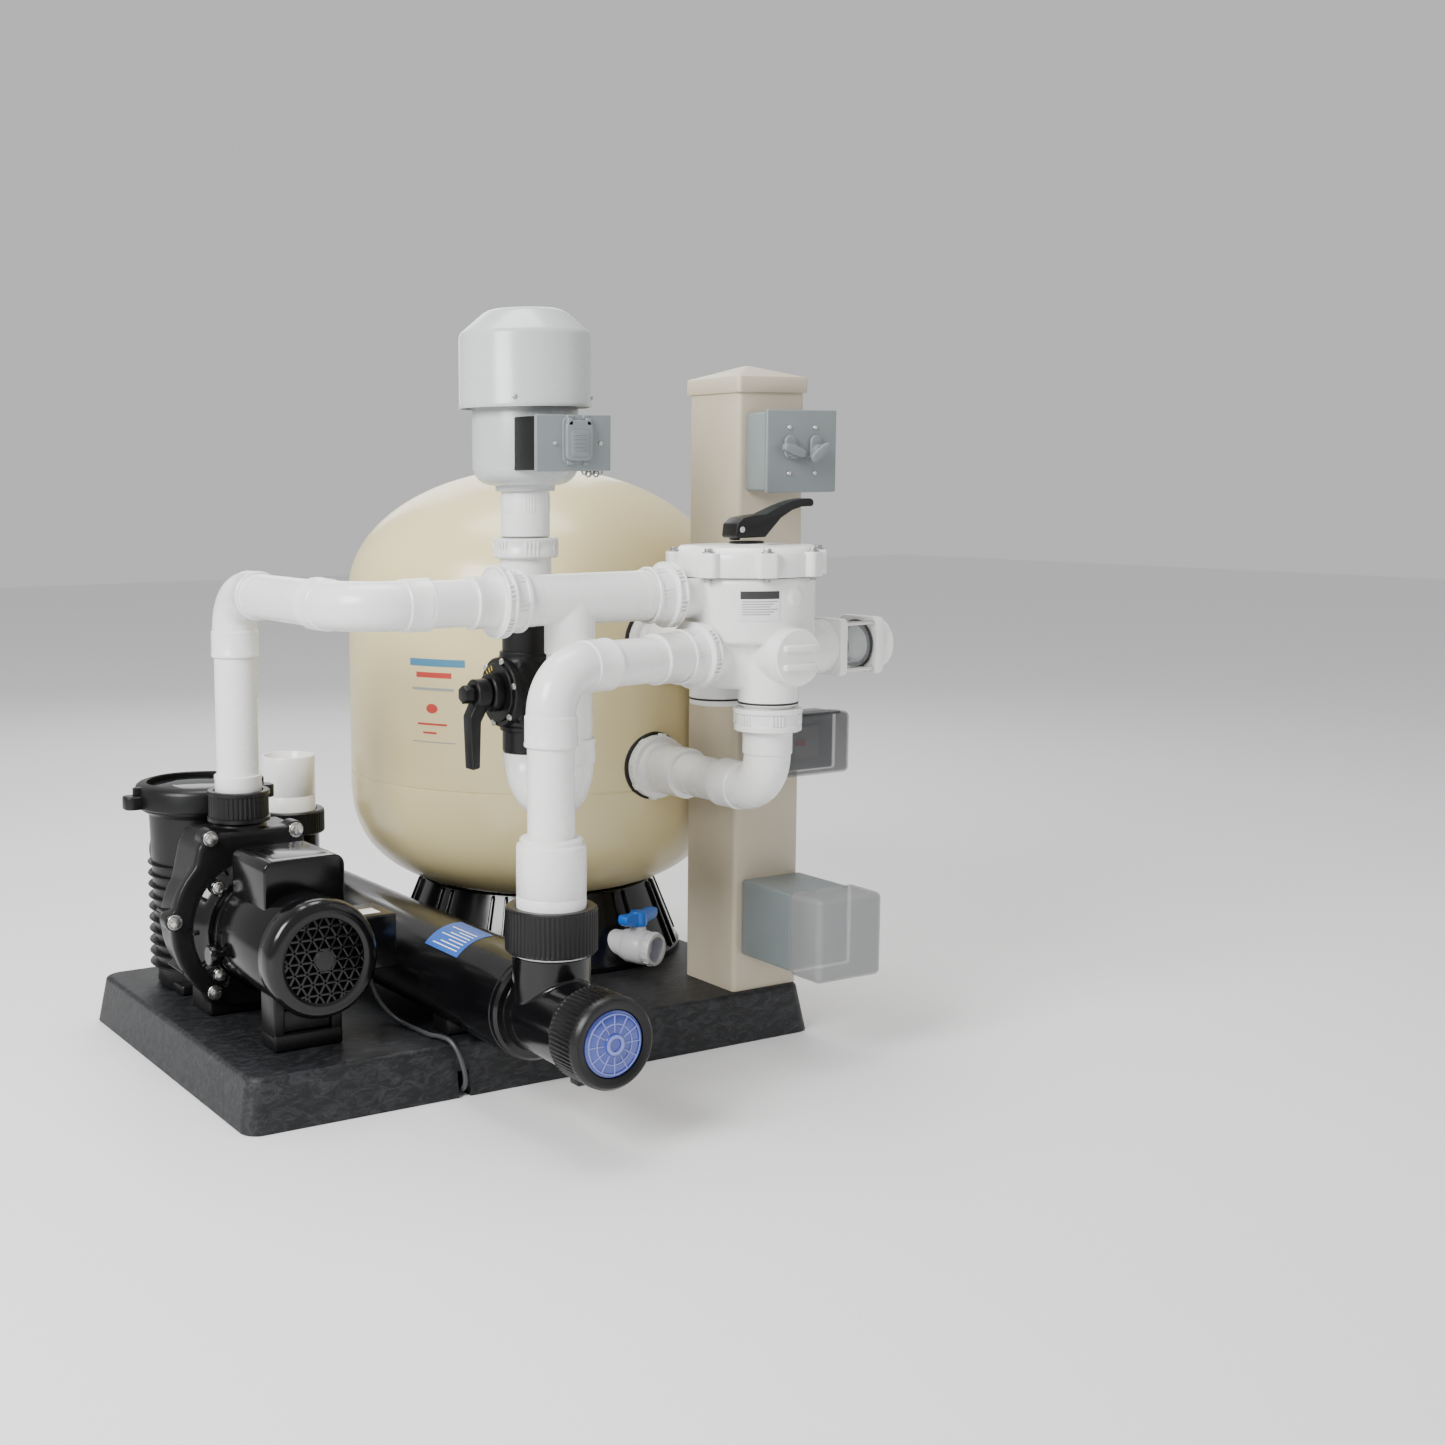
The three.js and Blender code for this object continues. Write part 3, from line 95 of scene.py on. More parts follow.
# ---------------------------------------------------------------- materials
def shader(name, color, roughness, metallic=0.0, **sockets):
    """A material with a principled shader, and that shader."""
    material = bpy.data.materials.new(name)
    material.use_nodes = True
    principled = material.node_tree.nodes["Principled BSDF"]
    principled.inputs["Base Color"].default_value = (*color, 1.0)
    principled.inputs["Roughness"].default_value = roughness
    principled.inputs["Metallic"].default_value = metallic
    for socket, value in sockets.items():
        principled.inputs[socket.replace("_", " ")].default_value = value
    return material, principled


def object_noise(material, scale, detail=4.0, stretch=(1.0, 1.0, 1.0)):
    """A noise texture in the object's own coordinates."""
    nodes, links = material.node_tree.nodes, material.node_tree.links
    coordinates = nodes.new("ShaderNodeTexCoord")
    mapping = nodes.new("ShaderNodeMapping")
    mapping.inputs["Scale"].default_value = stretch
    noise = nodes.new("ShaderNodeTexNoise")
    noise.inputs["Scale"].default_value = scale
    noise.inputs["Detail"].default_value = detail
    links.new(coordinates.outputs["Object"], mapping.inputs["Vector"])
    links.new(mapping.outputs["Vector"], noise.inputs["Vector"])
    return noise


def mottle(material, principled, dark, light, scale, detail=4.0, stretch=(1.0, 1.0, 1.0)):
    """Varies the base colour between two near shades."""
    nodes, links = material.node_tree.nodes, material.node_tree.links
    noise = object_noise(material, scale, detail, stretch)
    ramp = nodes.new("ShaderNodeValToRGB")
    ramp.color_ramp.elements[0].position = 0.35
    ramp.color_ramp.elements[1].position = 0.65
    ramp.color_ramp.elements[0].color = (*dark, 1.0)
    ramp.color_ramp.elements[1].color = (*light, 1.0)
    links.new(noise.outputs["Fac"], ramp.inputs["Fac"])
    links.new(ramp.outputs["Color"], principled.inputs["Base Color"])
    return noise


def grain(material, principled, scale, strength, distance=0.0005, stretch=(1.0, 1.0, 1.0)):
    """A fine bump."""
    nodes, links = material.node_tree.nodes, material.node_tree.links
    noise = object_noise(material, scale, 3.0, stretch)
    bump = nodes.new("ShaderNodeBump")
    bump.inputs["Strength"].default_value = strength
    bump.inputs["Distance"].default_value = distance
    links.new(noise.outputs["Fac"], bump.inputs["Height"])
    links.new(bump.outputs["Normal"], principled.inputs["Normal"])


def uneven_gloss(material, principled, scale, low, high):
    """Varies the roughness a little."""
    nodes, links = material.node_tree.nodes, material.node_tree.links
    noise = object_noise(material, scale, 3.0)
    spread = nodes.new("ShaderNodeMapRange")
    spread.inputs["To Min"].default_value = low
    spread.inputs["To Max"].default_value = high
    links.new(noise.outputs["Fac"], spread.inputs["Value"])
    links.new(spread.outputs["Result"], principled.inputs["Roughness"])


def shade(color, factor):
    """The colour made lighter or darker."""
    return tuple(min(1.0, channel * factor) for channel in color)


def plastic(name, color, roughness, bump=0.08, spread=0.03, coat=0.0, scale=9.0, specular=0.5):
    """Moulded plastic: faint colour drift, uneven gloss and a fine orange peel."""
    material, principled = shader(name, color, roughness, Coat_Weight=coat, Specular_IOR_Level=specular)
    principled.inputs["Coat Roughness"].default_value = 0.12
    mottle(material, principled, shade(color, 1 - spread), shade(color, 1 + spread), scale)
    uneven_gloss(material, principled, 40.0, roughness * 0.85, roughness * 1.2)
    grain(material, principled, 900.0, bump)
    return material


def pad_material():
    """Moulded pad skin: dark grey with short pale fibres running every way."""
    color = (0.010, 0.0105, 0.012)
    material, principled = shader("pad_skin", color, 0.5, Specular_IOR_Level=0.35)
    nodes, links = material.node_tree.nodes, material.node_tree.links
    fibres = object_noise(material, 42.0, 15.0, (1.0, 2.4, 2.0))
    fibres.inputs["Distortion"].default_value = 1.1
    fibres.inputs["Roughness"].default_value = 0.78
    ramp = nodes.new("ShaderNodeValToRGB")
    ramp.color_ramp.elements[0].position = 0.46
    ramp.color_ramp.elements[1].position = 0.72
    ramp.color_ramp.elements[0].color = (*shade(color, 0.7), 1.0)
    ramp.color_ramp.elements[1].color = (*shade(color, 4.5), 1.0)
    links.new(fibres.outputs["Fac"], ramp.inputs["Fac"])
    links.new(ramp.outputs["Color"], principled.inputs["Base Color"])
    bump = nodes.new("ShaderNodeBump")
    bump.inputs["Strength"].default_value = 0.55
    bump.inputs["Distance"].default_value = 0.0012
    links.new(fibres.outputs["Fac"], bump.inputs["Height"])
    links.new(bump.outputs["Normal"], principled.inputs["Normal"])
    return material


def clear_material(name, color, roughness, alpha):
    """Clear plastic sheet, seen through."""
    material, principled = shader(name, color, roughness, Specular_IOR_Level=0.35)
    principled.inputs["Alpha"].default_value = alpha
    grain(material, principled, 120.0, 0.04)
    return material


def steel_material(name, color, roughness):
    """Bright fastener steel with a fine grain."""
    material, principled = shader(name, color, roughness, 1.0)
    uneven_gloss(material, principled, 300.0, roughness * 0.7, roughness * 1.3)
    grain(material, principled, 700.0, 0.1)
    return material


MATERIALS = {
    "pad": pad_material(),
    "post": plastic("post_vinyl", (0.54, 0.475, 0.36), 0.42, bump=0.05),
    "tank": plastic("tank_shell", (0.70, 0.595, 0.315), 0.3, bump=0.05, spread=0.02, coat=0.25, scale=3.0),
    "pvc": plastic("white_pvc", (0.82, 0.82, 0.81), 0.26, bump=0.04, spread=0.015, coat=0.15),
    "pvc_grey": plastic("pale_pvc", (0.56, 0.56, 0.565), 0.32, bump=0.05, spread=0.02),
    "valve": plastic("valve_white", (0.84, 0.84, 0.825), 0.26, bump=0.06, spread=0.015, coat=0.15),
    "black": plastic("black_plastic", (0.0045, 0.0045, 0.005), 0.34, bump=0.3, spread=0.3, specular=0.32),
    "gloss_black": plastic("gloss_black", (0.003, 0.003, 0.0035), 0.16, bump=0.03, spread=0.2,
    specular=0.4),
    "deep_black": plastic("deep_black", (0.001, 0.001, 0.001), 0.7, spread=0.2, specular=0.1),
    "blower": plastic("blower_grey", (0.50, 0.53, 0.525), 0.26, bump=0.05, spread=0.02, coat=0.1),
    "box": plastic("box_paint", (0.20, 0.23, 0.235), 0.34, bump=0.3, spread=0.04),
    "blue": plastic("valve_blue", (0.005, 0.14, 0.62), 0.32, bump=0.06),
    "lens": plastic("lens_blue", (0.035, 0.06, 0.32), 0.14, bump=0.05, spread=0.12, coat=0.6, scale=25.0),
    "lens_light": plastic("lens_pale_blue", (0.17, 0.20, 0.52), 0.2, bump=0.05, spread=0.08, coat=0.4),
    "label_blue": plastic("label_blue", (0.02, 0.09, 0.36), 0.25, bump=0.02),
    "label_white": plastic("label_white", (0.78, 0.78, 0.78), 0.35, bump=0.02),
    "ink_black": plastic("ink_black", (0.03, 0.03, 0.03), 0.5, bump=0.02),
    "ink_grey": plastic("ink_grey", (0.32, 0.32, 0.32), 0.5, bump=0.02),
    "ink_teal": plastic("ink_teal", (0.05, 0.20, 0.32), 0.45, bump=0.02),
    "ink_red": plastic("ink_red", (0.50, 0.04, 0.03), 0.45, bump=0.02),
    "yellow": plastic("tick_yellow", (0.75, 0.55, 0.03), 0.45, bump=0.02),
    "cord": plastic("cord_jacket", (0.05, 0.053, 0.055), 0.42, bump=0.12, spread=0.08),
    "rubber": plastic("rubber", (0.012, 0.012, 0.012), 0.55, bump=0.1, spread=0.1),
    "steel": steel_material("fastener_steel", (0.62, 0.61, 0.58), 0.28),
    "dull_steel": steel_material("dull_steel", (0.42, 0.42, 0.41), 0.42),
    "frost": clear_material("frosted_cover", (0.34, 0.345, 0.35), 0.3, 0.6),
    "smoke": clear_material("smoked_cover", (0.12, 0.12, 0.125), 0.12, 0.45),
    "clear": clear_material("clear_window", (0.6, 0.63, 0.65), 0.06, 0.25),
    "lid_clear": clear_material("lid_window", (0.03, 0.032, 0.035), 0.05, 0.7),
}


# ---------------------------------------------------------------- shapes
AXIS_TURNS = {
    "z": Matrix.Identity(4),
    "-z": Matrix.Rotation(math.pi, 4, "X"),
    "x": Matrix.Rotation(math.pi / 2, 4, "Y"),
    "-x": Matrix.Rotation(-math.pi / 2, 4, "Y"),
    "y": Matrix.Rotation(-math.pi / 2, 4, "X"),
    "-y": Matrix.Rotation(math.pi / 2, 4, "X"),
}


class Shape:
    """Points in millimetres and the faces between them."""

    def __init__(self, points=(), faces=()):
        self.points = [Vector(point) for point in points]
        self.faces = [tuple(face) for face in faces]

    def __add__(self, other):
        offset = len(self.points)
        moved = [tuple(index + offset for index in face) for face in other.faces]
        return Shape(self.points + other.points, self.faces + moved)

    def by(self, matrix):
        """The shape moved by a matrix."""
        return Shape([matrix @ point for point in self.points], self.faces)

    def at(self, x=0.0, y=0.0, z=0.0, axis="z"):
        """The shape made along +Z, turned to lie along an axis and moved."""
        return self.by(Matrix.Translation((x, y, z)) @ AXIS_TURNS[axis])

    def turned(self, degrees, axis="Z"):
        """The shape turned about an axis through the origin."""
        return self.by(Matrix.Rotation(math.radians(degrees), 4, axis))


def total(shapes):
    """All the shapes as one."""
    result = Shape()
    for shape in shapes:
        result = result + shape
    return result


def around(shape, count, start=0.0):
    """Copies of a shape spread evenly about Z."""
    return total(shape.turned(start + 360.0 * i / count) for i in range(count))


def lathe(profile, sides=ROUND, wave=None):
    """A surface of revolution about Z. profile is a list of (radius, z).
    wave(index, side) gives a change of radius, for ribs."""
    points = []
    rows = []
    for index, (radius, height) in enumerate(profile):
        if radius <= 0:
            rows.append([len(points)] * sides)
            points.append((0.0, 0.0, height))
            continue
        rows.append(list(range(len(points), len(points) + sides)))
        for side in range(sides):
            angle = 2 * math.pi * side / sides
            r = radius + (wave(index, side) if wave else 0.0)
            points.append((r * math.cos(angle), r * math.sin(angle), height))
    faces = []
    for low, high in zip(rows, rows[1:]):
        for side in range(sides):
            following = (side + 1) % sides
            corners = [low[side], low[following], high[following], high[side]]
            unique = list(dict.fromkeys(corners))
            if len(unique) > 2:
                faces.append(unique)
    return Shape(points, faces)


def closed(profile):
    """The profile closed on itself, for a ring."""
    return profile + profile[:1]


def rod(radius, z0, z1, sides=ROUND, rim=0.0):
    """A rod along Z with chamfered ends."""
    if rim <= 0:
        return lathe([(0, z0), (radius, z0), (radius, z1), (0, z1)], sides)
    return lathe(
        [(0, z0), (radius - rim, z0), (radius, z0 + rim), (radius, z1 - rim), (radius - rim, z1),
        (0, z1)], sides
    )


def ring(outer, inner, z0, z1, rim=0.8, sides=ROUND):
    """A tube along Z with chamfered outer edges."""
    return lathe(
        closed([(inner, z0), (outer - rim, z0), (outer, z0 + rim), (outer, z1 - rim), (outer - rim, z1),
        (inner, z1)]),
        sides,
    )


def arc_bar(radius, bend, degrees=90.0, steps=24, sides=ROUND):
    """A capped round bar bent along an arc: from the origin, heading +Z, turning towards +X."""
    points = []
    for step in range(steps + 1):
        angle = math.radians(degrees) * step / steps
        centre = Vector((bend * (1 - math.cos(angle)), 0, bend * math.sin(angle)))
        outward = Vector((math.cos(angle), 0, -math.sin(angle)))
        for side in range(sides):
            spin = 2 * math.pi * side / sides
            points.append(centre + radius * (math.cos(spin) * outward + Vector((0, math.sin(spin), 0))))
    faces = [tuple(range(sides)), tuple(range(steps * sides, (steps + 1) * sides))]
    for step in range(steps):
        for side in range(sides):
            a = step * sides + side
            b = step * sides + (side + 1) % sides
            faces.append((a, b, b + sides, a + sides))
    return Shape(points, faces)


def from_bmesh(bm):
    """The shape held by a bmesh, which is freed."""
    bm.verts.index_update()
    shape = Shape([vertex.co.copy() for vertex in bm.verts],
        [[v.index for v in face.verts] for face in bm.faces])
    bm.free()
    return shape


def prism(outline, z0, z1, bevel=1.0, segments=3):
    """An outline in XY extruded along Z, its sharp edges rounded."""
    bm = bmesh.new()
    low = [bm.verts.new((x, y, z0)) for x, y in outline]
    high = [bm.verts.new((x, y, z1)) for x, y in outline]
    bm.faces.new(list(reversed(low)))
    bm.faces.new(high)
    count = len(outline)
    for i in range(count):
        j = (i + 1) % count
        bm.faces.new((low[i], low[j], high[j], high[i]))
    bmesh.ops.recalc_face_normals(bm, faces=bm.faces)
    if bevel > 0:
        sharp = [edge for edge in bm.edges if edge.calc_face_angle(0.0) > math.radians(25)]
        bmesh.ops.bevel(bm, geom=sharp, offset=bevel, segments=segments, profile=0.5, affect="EDGES",
            clamp_overlap=True)
    return from_bmesh(bm)


def block(x0, y0, z0, x1, y1, z1, bevel=1.5, segments=3):
    """A box between two corners with rounded edges."""
    return prism([(x0, y0), (x1, y0), (x1, y1), (x0, y1)], z0, z1, bevel, segments)


def rounded_rectangle(width, depth, radius, steps=8):
    """The points of a rounded rectangle about the origin."""
    points = []
    for quarter, (sx, sy) in enumerate(((1, 1), (-1, 1), (-1, -1), (1, -1))):
        for i in range(steps + 1):
            angle = (quarter + i / steps) * math.pi / 2
            points.append(
                (
                    sx * (width / 2 - radius) + radius * math.cos(angle),
                    sy * (depth / 2 - radius) + radius * math.sin(angle),
                )
            )
    return points


def loft(rings):
    """A solid through rings of points: (outline, z) from the bottom up."""
    count = len(rings[0][0])
    points = [(x, y, z) for outline, z in rings for x, y in outline]
    faces = [tuple(reversed(range(count))), tuple(range((len(rings) - 1) * count, len(rings) * count))]
    for level in range(len(rings) - 1):
        for i in range(count):
            a = level * count + i
            b = level * count + (i + 1) % count
            faces.append((a, b, b + count, a + count))
    return Shape(points, faces)


def patch(radius, start, end, z0, z1, thickness=0.25, steps=24):
    """A thin curved label on a cylinder about Z, between two angles in degrees."""
    points = []
    for step in range(steps + 1):
        angle = math.radians(start + (end - start) * step / steps)
        for r in (radius, radius + thickness):
            for z in (z0, z1):
                points.append((r * math.cos(angle), r * math.sin(angle), z))
    faces = [(0, 1, 3, 2), tuple(4 * steps + i for i in (0, 2, 3, 1))]
    for step in range(steps):
        a = 4 * step
        b = a + 4
        faces += [(a, b, b + 1, a + 1), (a + 2, a + 3, b + 3, b + 2), (a, a + 2, b + 2, b),
            (a + 1, b + 1, b + 3, a + 3)]
    return Shape(points, faces)


def hex_bolt(radius, height, washer=1.45):
    """A hexagon head on a washer, seat at z = 0."""
    head = prism([(radius * math.cos(math.radians(60 * i)), radius * math.sin(math.radians(60 * i)))
        for i in range(6)],
                 1.2, height, 0.5, 2)
    return head + rod(radius * washer, 0, 1.4, 28, 0.4)


def pan_screw(radius, height):
    """A domed screw head with a cross recess, seat at z = 0."""
    dome = lathe([(0, 0), (radius, 0), (radius, height * 0.4), (radius * 0.8, height * 0.85),
        (radius * 0.3, height),
                  (0, height)], 24)
    slot = radius * 0.16
    cross = block(-radius * 0.6, -slot, height * 0.6, radius * 0.6, slot, height * 1.02, 0.1, 1)
    return dome + cross + cross.turned(90)


# ---------------------------------------------------------------- adding pieces
def finished(name, mesh, material, body, angle):
    """Turns a mesh into a piece of the model."""
    mesh.materials.clear()
    mesh.materials.append(MATERIALS[material])
    mesh.shade_smooth()
    mesh.set_sharp_from_angle(angle=math.radians(angle))
    piece = bpy.data.objects.new(name, mesh)
    bpy.context.scene.collection.objects.link(piece)
    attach(piece, body)
    return piece


def to_mesh(name, shape):
    """A mesh in metres, its faces turned outward."""
    mesh = bpy.data.meshes.new(name)
    mesh.from_pydata([point * MM for point in shape.points], [], shape.faces)
    bm = bmesh.new()
    bm.from_mesh(mesh)
    bmesh.ops.recalc_face_normals(bm, faces=bm.faces)
    bm.to_mesh(mesh)
    bm.free()
    return mesh


def add(name, shape, material, body="frame", stands_for=(), angle=38.0):
    """Adds a shape as a piece that rides on a body, and may stand for CAD nodes."""
    piece = finished(name, to_mesh(name, shape), material, body, angle)
    if stands_for:
        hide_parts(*stands_for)
    return piece


def add_moulded(name, shape, material, voxel=2.0, rounds=5, cutters=None, stands_for=(),
        body="frame"):
    """Adds overlapping shapes as one moulding: fused, with small fillets where they meet."""
    rough = bpy.data.objects.new(name + "_rough", to_mesh(name + "_rough", shape))
    bpy.context.scene.collection.objects.link(rough)
    remesh = rough.modifiers.new("fuse", "REMESH")
    remesh.mode = "VOXEL"
    remesh.voxel_size = voxel * MM
    soften = rough.modifiers.new("soften", "SMOOTH")
    soften.iterations = rounds
    soften.factor = 0.5
    mesh = baked(rough, name)
    piece = finished(name, mesh, material, body, 60.0)
    if cutters:
        carve(piece, cutters)
    if stands_for:
        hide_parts(*stands_for)
    return piece


def baked(obj, name):
    """The object's mesh with its modifiers applied; the object is removed."""
    graph = bpy.context.evaluated_depsgraph_get()
    mesh = bpy.data.meshes.new_from_object(obj.evaluated_get(graph))
    mesh.name = name
    bpy.data.objects.remove(obj)
    return mesh


def carve(piece, shape):
    """Cuts a shape out of a piece."""
    cutter = bpy.data.objects.new("cutter", to_mesh("cutter", shape))
    bpy.context.scene.collection.objects.link(cutter)
    boolean = piece.modifiers.new("cut", "BOOLEAN")
    boolean.operation = "DIFFERENCE"
    boolean.solver = "EXACT"
    boolean.object = cutter
    graph = bpy.context.evaluated_depsgraph_get()
    mesh = bpy.data.meshes.new_from_object(piece.evaluated_get(graph))
    piece.modifiers.clear()
    old = piece.data
    piece.data = mesh
    bpy.data.meshes.remove(old)
    bpy.data.objects.remove(cutter)
    mesh.shade_smooth()
    mesh.set_sharp_from_angle(angle=math.radians(38))


def repaint(node, material):
    """Gives a CAD node a procedural material."""
    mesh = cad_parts[node].data
    mesh.materials.clear()
    mesh.materials.append(MATERIALS[material])


# ---------------------------------------------------------------- shared plumbing pieces
def socket(z0, z1, radius=SOCKET):
    """A moulded socket along Z with a slightly thicker mouth at z1."""
    bead = min(5.0, (z1 - z0) * 0.25)
    return lathe(
        [(0, z0), (radius - 2.2, z0), (radius - 0.6, z0 + 2), (radius - 0.6, z1 - bead - 1),
        (radius, z1 - bead),
         (radius, z1 - 1), (radius - 1, z1), (0, z1)]
    )


def quarter_elbow(bend, low, side):
    """A quarter elbow about its corner: one socket hangs down, the other leaves along +X."""
    return (
        arc_bar(BEND, bend).at(z=-bend)
        + socket(0, low).at(z=-bend, axis="-z")
        + socket(0, side).at(x=bend, axis="x")
    )


def union_nut(outer, nose, length, groups=6, bars=4):
    """A union nut from its flange at z = 0 to its nose, with groups of grip bars."""
    waist = length * 0.36
    shoulder = nose + (outer - nose) * 0.45
    body = lathe(
        [(SOCKET - 1, 0), (outer - 3, 0), (outer - 3, waist), (shoulder - 3, waist + 1),
        (nose - 2.6, length - 6),
         (nose - 2.6, length), (SOCKET - 1, length)], 96
    )
    rim = lathe(closed([(outer - 4, waist - 4), (outer - 0.8, waist - 4), (outer, waist - 3),
        (outer, waist - 0.8),
                        (outer - 0.8, waist), (outer - 4, waist)]), 96)
    flange = lathe(closed([(outer - 4, 0), (outer - 0.8, 0), (outer, 0.8), (outer, 2.6),
        (outer - 4, 3.4)]), 96)
    lip = lathe(closed([(nose - 4, length - 6.5), (nose, length - 5), (nose, length - 1),
        (nose - 1, length),
                        (nose - 4, length)]), 96)
    bar = block(outer - 4, -1.4, 2, outer - 0.3, 1.4, waist - 3, 0.6, 2)
    tapered = block(nose - 5, -1.3, waist + 1, nose - 0.6, 1.3, length - 5, 0.6, 2)
    grips = total(around(bar, groups, start=7.5 * i) for i in range(bars))
    ribs = total(around(tapered, groups, start=30 + 8 * i) for i in range(bars - 1))
    return body + rim + grips + flange + lip + ribs


def at_valve(shape):
    """Moves a shape from the valve's own frame."""
    return shape.at(VALVE["x"], VALVE["y"])


def along_manifold(shape):
    """Lays a shape made along +Z on the manifold, its origin at the valve's axis."""
    return shape.at(axis="-x").turned(-MANIFOLD_LEAN).at(VALVE["x"], VALVE["y"], MANIFOLD_Z)


def along_return(shape):
    """Lays a shape made along +Z on the return line, its origin at the valve's axis."""
    return shape.at(axis="x").turned(RETURN_HEADING).at(VALVE["x"], VALVE["y"], VALVE["return"])


# ---------------------------------------------------------------- cord
CORD_ROUTE = [
    (-0.205, -0.150, 0.1595), (-0.205, -0.150, 0.145), (-0.200, -0.152, 0.122), (-0.190, -0.160, 0.098),
    (-0.178, -0.176, 0.081), (-0.170, -0.200, 0.0762), (-0.167, -0.228, 0.0759), (-0.164, -0.254, 0.0764),
    (-0.160, -0.276, 0.079), (-0.156, -0.293, 0.0775), (-0.152, -0.305, 0.067), (-0.148, -0.311, 0.050),
    (-0.144, -0.312, 0.033), (-0.141, -0.305, 0.016), (-0.140, -0.292, 0.007), (-0.140, -0.278, 0.0042),
    (-0.140, -0.266, 0.0039),
]
CORD_DIAMETER = 0.0068


def motor_cord():
    """The motor's cord: down from the junction box, over the pad's front edge and into the notch below."""
    data = bpy.data.curves.new("motor_cord_jacket", "CURVE")
    data.dimensions = "3D"
    data.bevel_depth = CORD_DIAMETER / 2
    data.bevel_resolution = 5
    data.use_fill_caps = True
    spline = data.splines.new("BEZIER")
    spline.bezier_points.add(len(CORD_ROUTE) - 1)
    for point, place in zip(spline.bezier_points, CORD_ROUTE):
        point.co = place
        point.handle_left_type = "AUTO"
        point.handle_right_type = "AUTO"
    data.materials.append(MATERIALS["cord"])
    cord = bpy.data.objects.new("motor_cord_jacket", data)
    bpy.context.scene.collection.objects.link(cord)
    length = sum(segment_length(spline, i) for i in range(len(CORD_ROUTE) - 1))
    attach(cord, "frame")
    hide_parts("motor_cord")
    relief = lathe([(0, 0), (3.9, 0), (4.4, 8), (6.2, 17), (6.6, 22), (0, 22)], 28).at(-205, -150, 140)
    boot = add("cord_strain_relief", relief, "rubber")


def segment_length(spline, index, steps=24):
    """The length of one Bezier segment."""
    bpy.context.view_layer.update()
    a, b = spline.bezier_points[index], spline.bezier_points[index + 1]
    points = []
    for step in range(steps + 1):
        t = step / steps
        s = 1 - t
        points.append(
            s**3 * a.co + 3 * s * s * t * a.handle_right + 3 * s * t * t * b.handle_left + t**3 * b.co
        )
    return sum((q - p).length for p, q in zip(points, points[1:]))


# ---------------------------------------------------------------- pad and post
def base_pad():
    """The moulded equipment pad with a notch for the cord."""
    width, depth, taper, corner, edge = 914, 610, 11, 24, 7

    def outline(inset):
        return rounded_rectangle(width - 2 * inset, depth - 2 * inset, corner, 10)

    foot = [(outline(1.2), 0.0), (outline(0.0), 1.5)]
    crown = []
    for i in range(7):
        angle = i / 6 * math.pi / 2
        crown.append((outline(taper - 1 + edge * (1 - math.cos(angle))),
            PAD_TOP - edge + edge * math.sin(angle)))
    pad = add("pad_block", loft(foot + crown), "pad", stands_for=["base_pad"])
    carve(pad, block(-149, -320, -5, -131, -265.6, 36, 2.0))


def post():
    """The square vinyl post and its cap."""
    side = POST["side"]
    sleeve = loft([(rounded_rectangle(side, side, 7, 6), PAD_TOP + 0.3),
        (rounded_rectangle(side, side, 7, 6), 958)])
    add("post_sleeve", sleeve.at(POST["x"], POST["y"]), "post", stands_for=["post"])
    cap = loft([
        (rounded_rectangle(124.5, 124.5, 6, 6), 944.0),
        (rounded_rectangle(126, 126, 6, 6), 945.0),
        (rounded_rectangle(126, 126, 6, 6), 964.5),
        (rounded_rectangle(124, 124, 6, 6), 966.6),
        (rounded_rectangle(117, 117, 5, 6), 967.5),
        (rounded_rectangle(112, 112, 5, 6), 968.0),
        (rounded_rectangle(10, 10, 4, 6), 984.4),
    ])
    add("post_cap_moulding", cap.at(POST["x"], POST["y"]), "post", stands_for=["post_cap"])


# ---------------------------------------------------------------- tank
def dome_profile(radius, height, power, steps):
    """Points of a dome from its rim to its axis."""
    points = []
    for i in range(steps + 1):
        angle = i / steps * math.pi / 2
        across = 0.0 if i == steps else radius * math.cos(angle) ** (2 / power)
        points.append((across, height * math.sin(angle) ** (2 / power)))
    return points


def tank():
    """The filter tank: two welded shells with a faint seam, and its printed panel."""
    radius, seam = TANK["radius"], TANK["seam"]
    low = dome_profile(radius, seam - TANK["bottom"], 2.8, 40)
    high = dome_profile(radius, TANK["top"] - TANK["shoulder"], 2.0, 40)
    profile = [(r, seam - 3 - h * (seam - 3 - TANK["bottom"]) / (seam - TANK["bottom"])) for r,
        h in reversed(low)]
    profile += [(radius - 0.2, seam - 1.6), (radius - 1.3, seam - 0.8), (radius - 1.3, seam + 0.8),
                (radius - 0.2, seam + 1.6)]
    profile += [(r, TANK["shoulder"] + h) for r, h in high]
    add("tank_body", lathe(profile, 144).at(TANK["x"], TANK["y"]), "tank",
        stands_for=["tank_shell"])
    skirt()
    for node, z in (("upper_bulkhead", VALVE["port"]), ("lower_bulkhead", 400)):
        bulkhead(node, z)
    for node in ("upper_diffuser", "lower_laterals"):
        repaint(node, "pvc")
    tank_print()


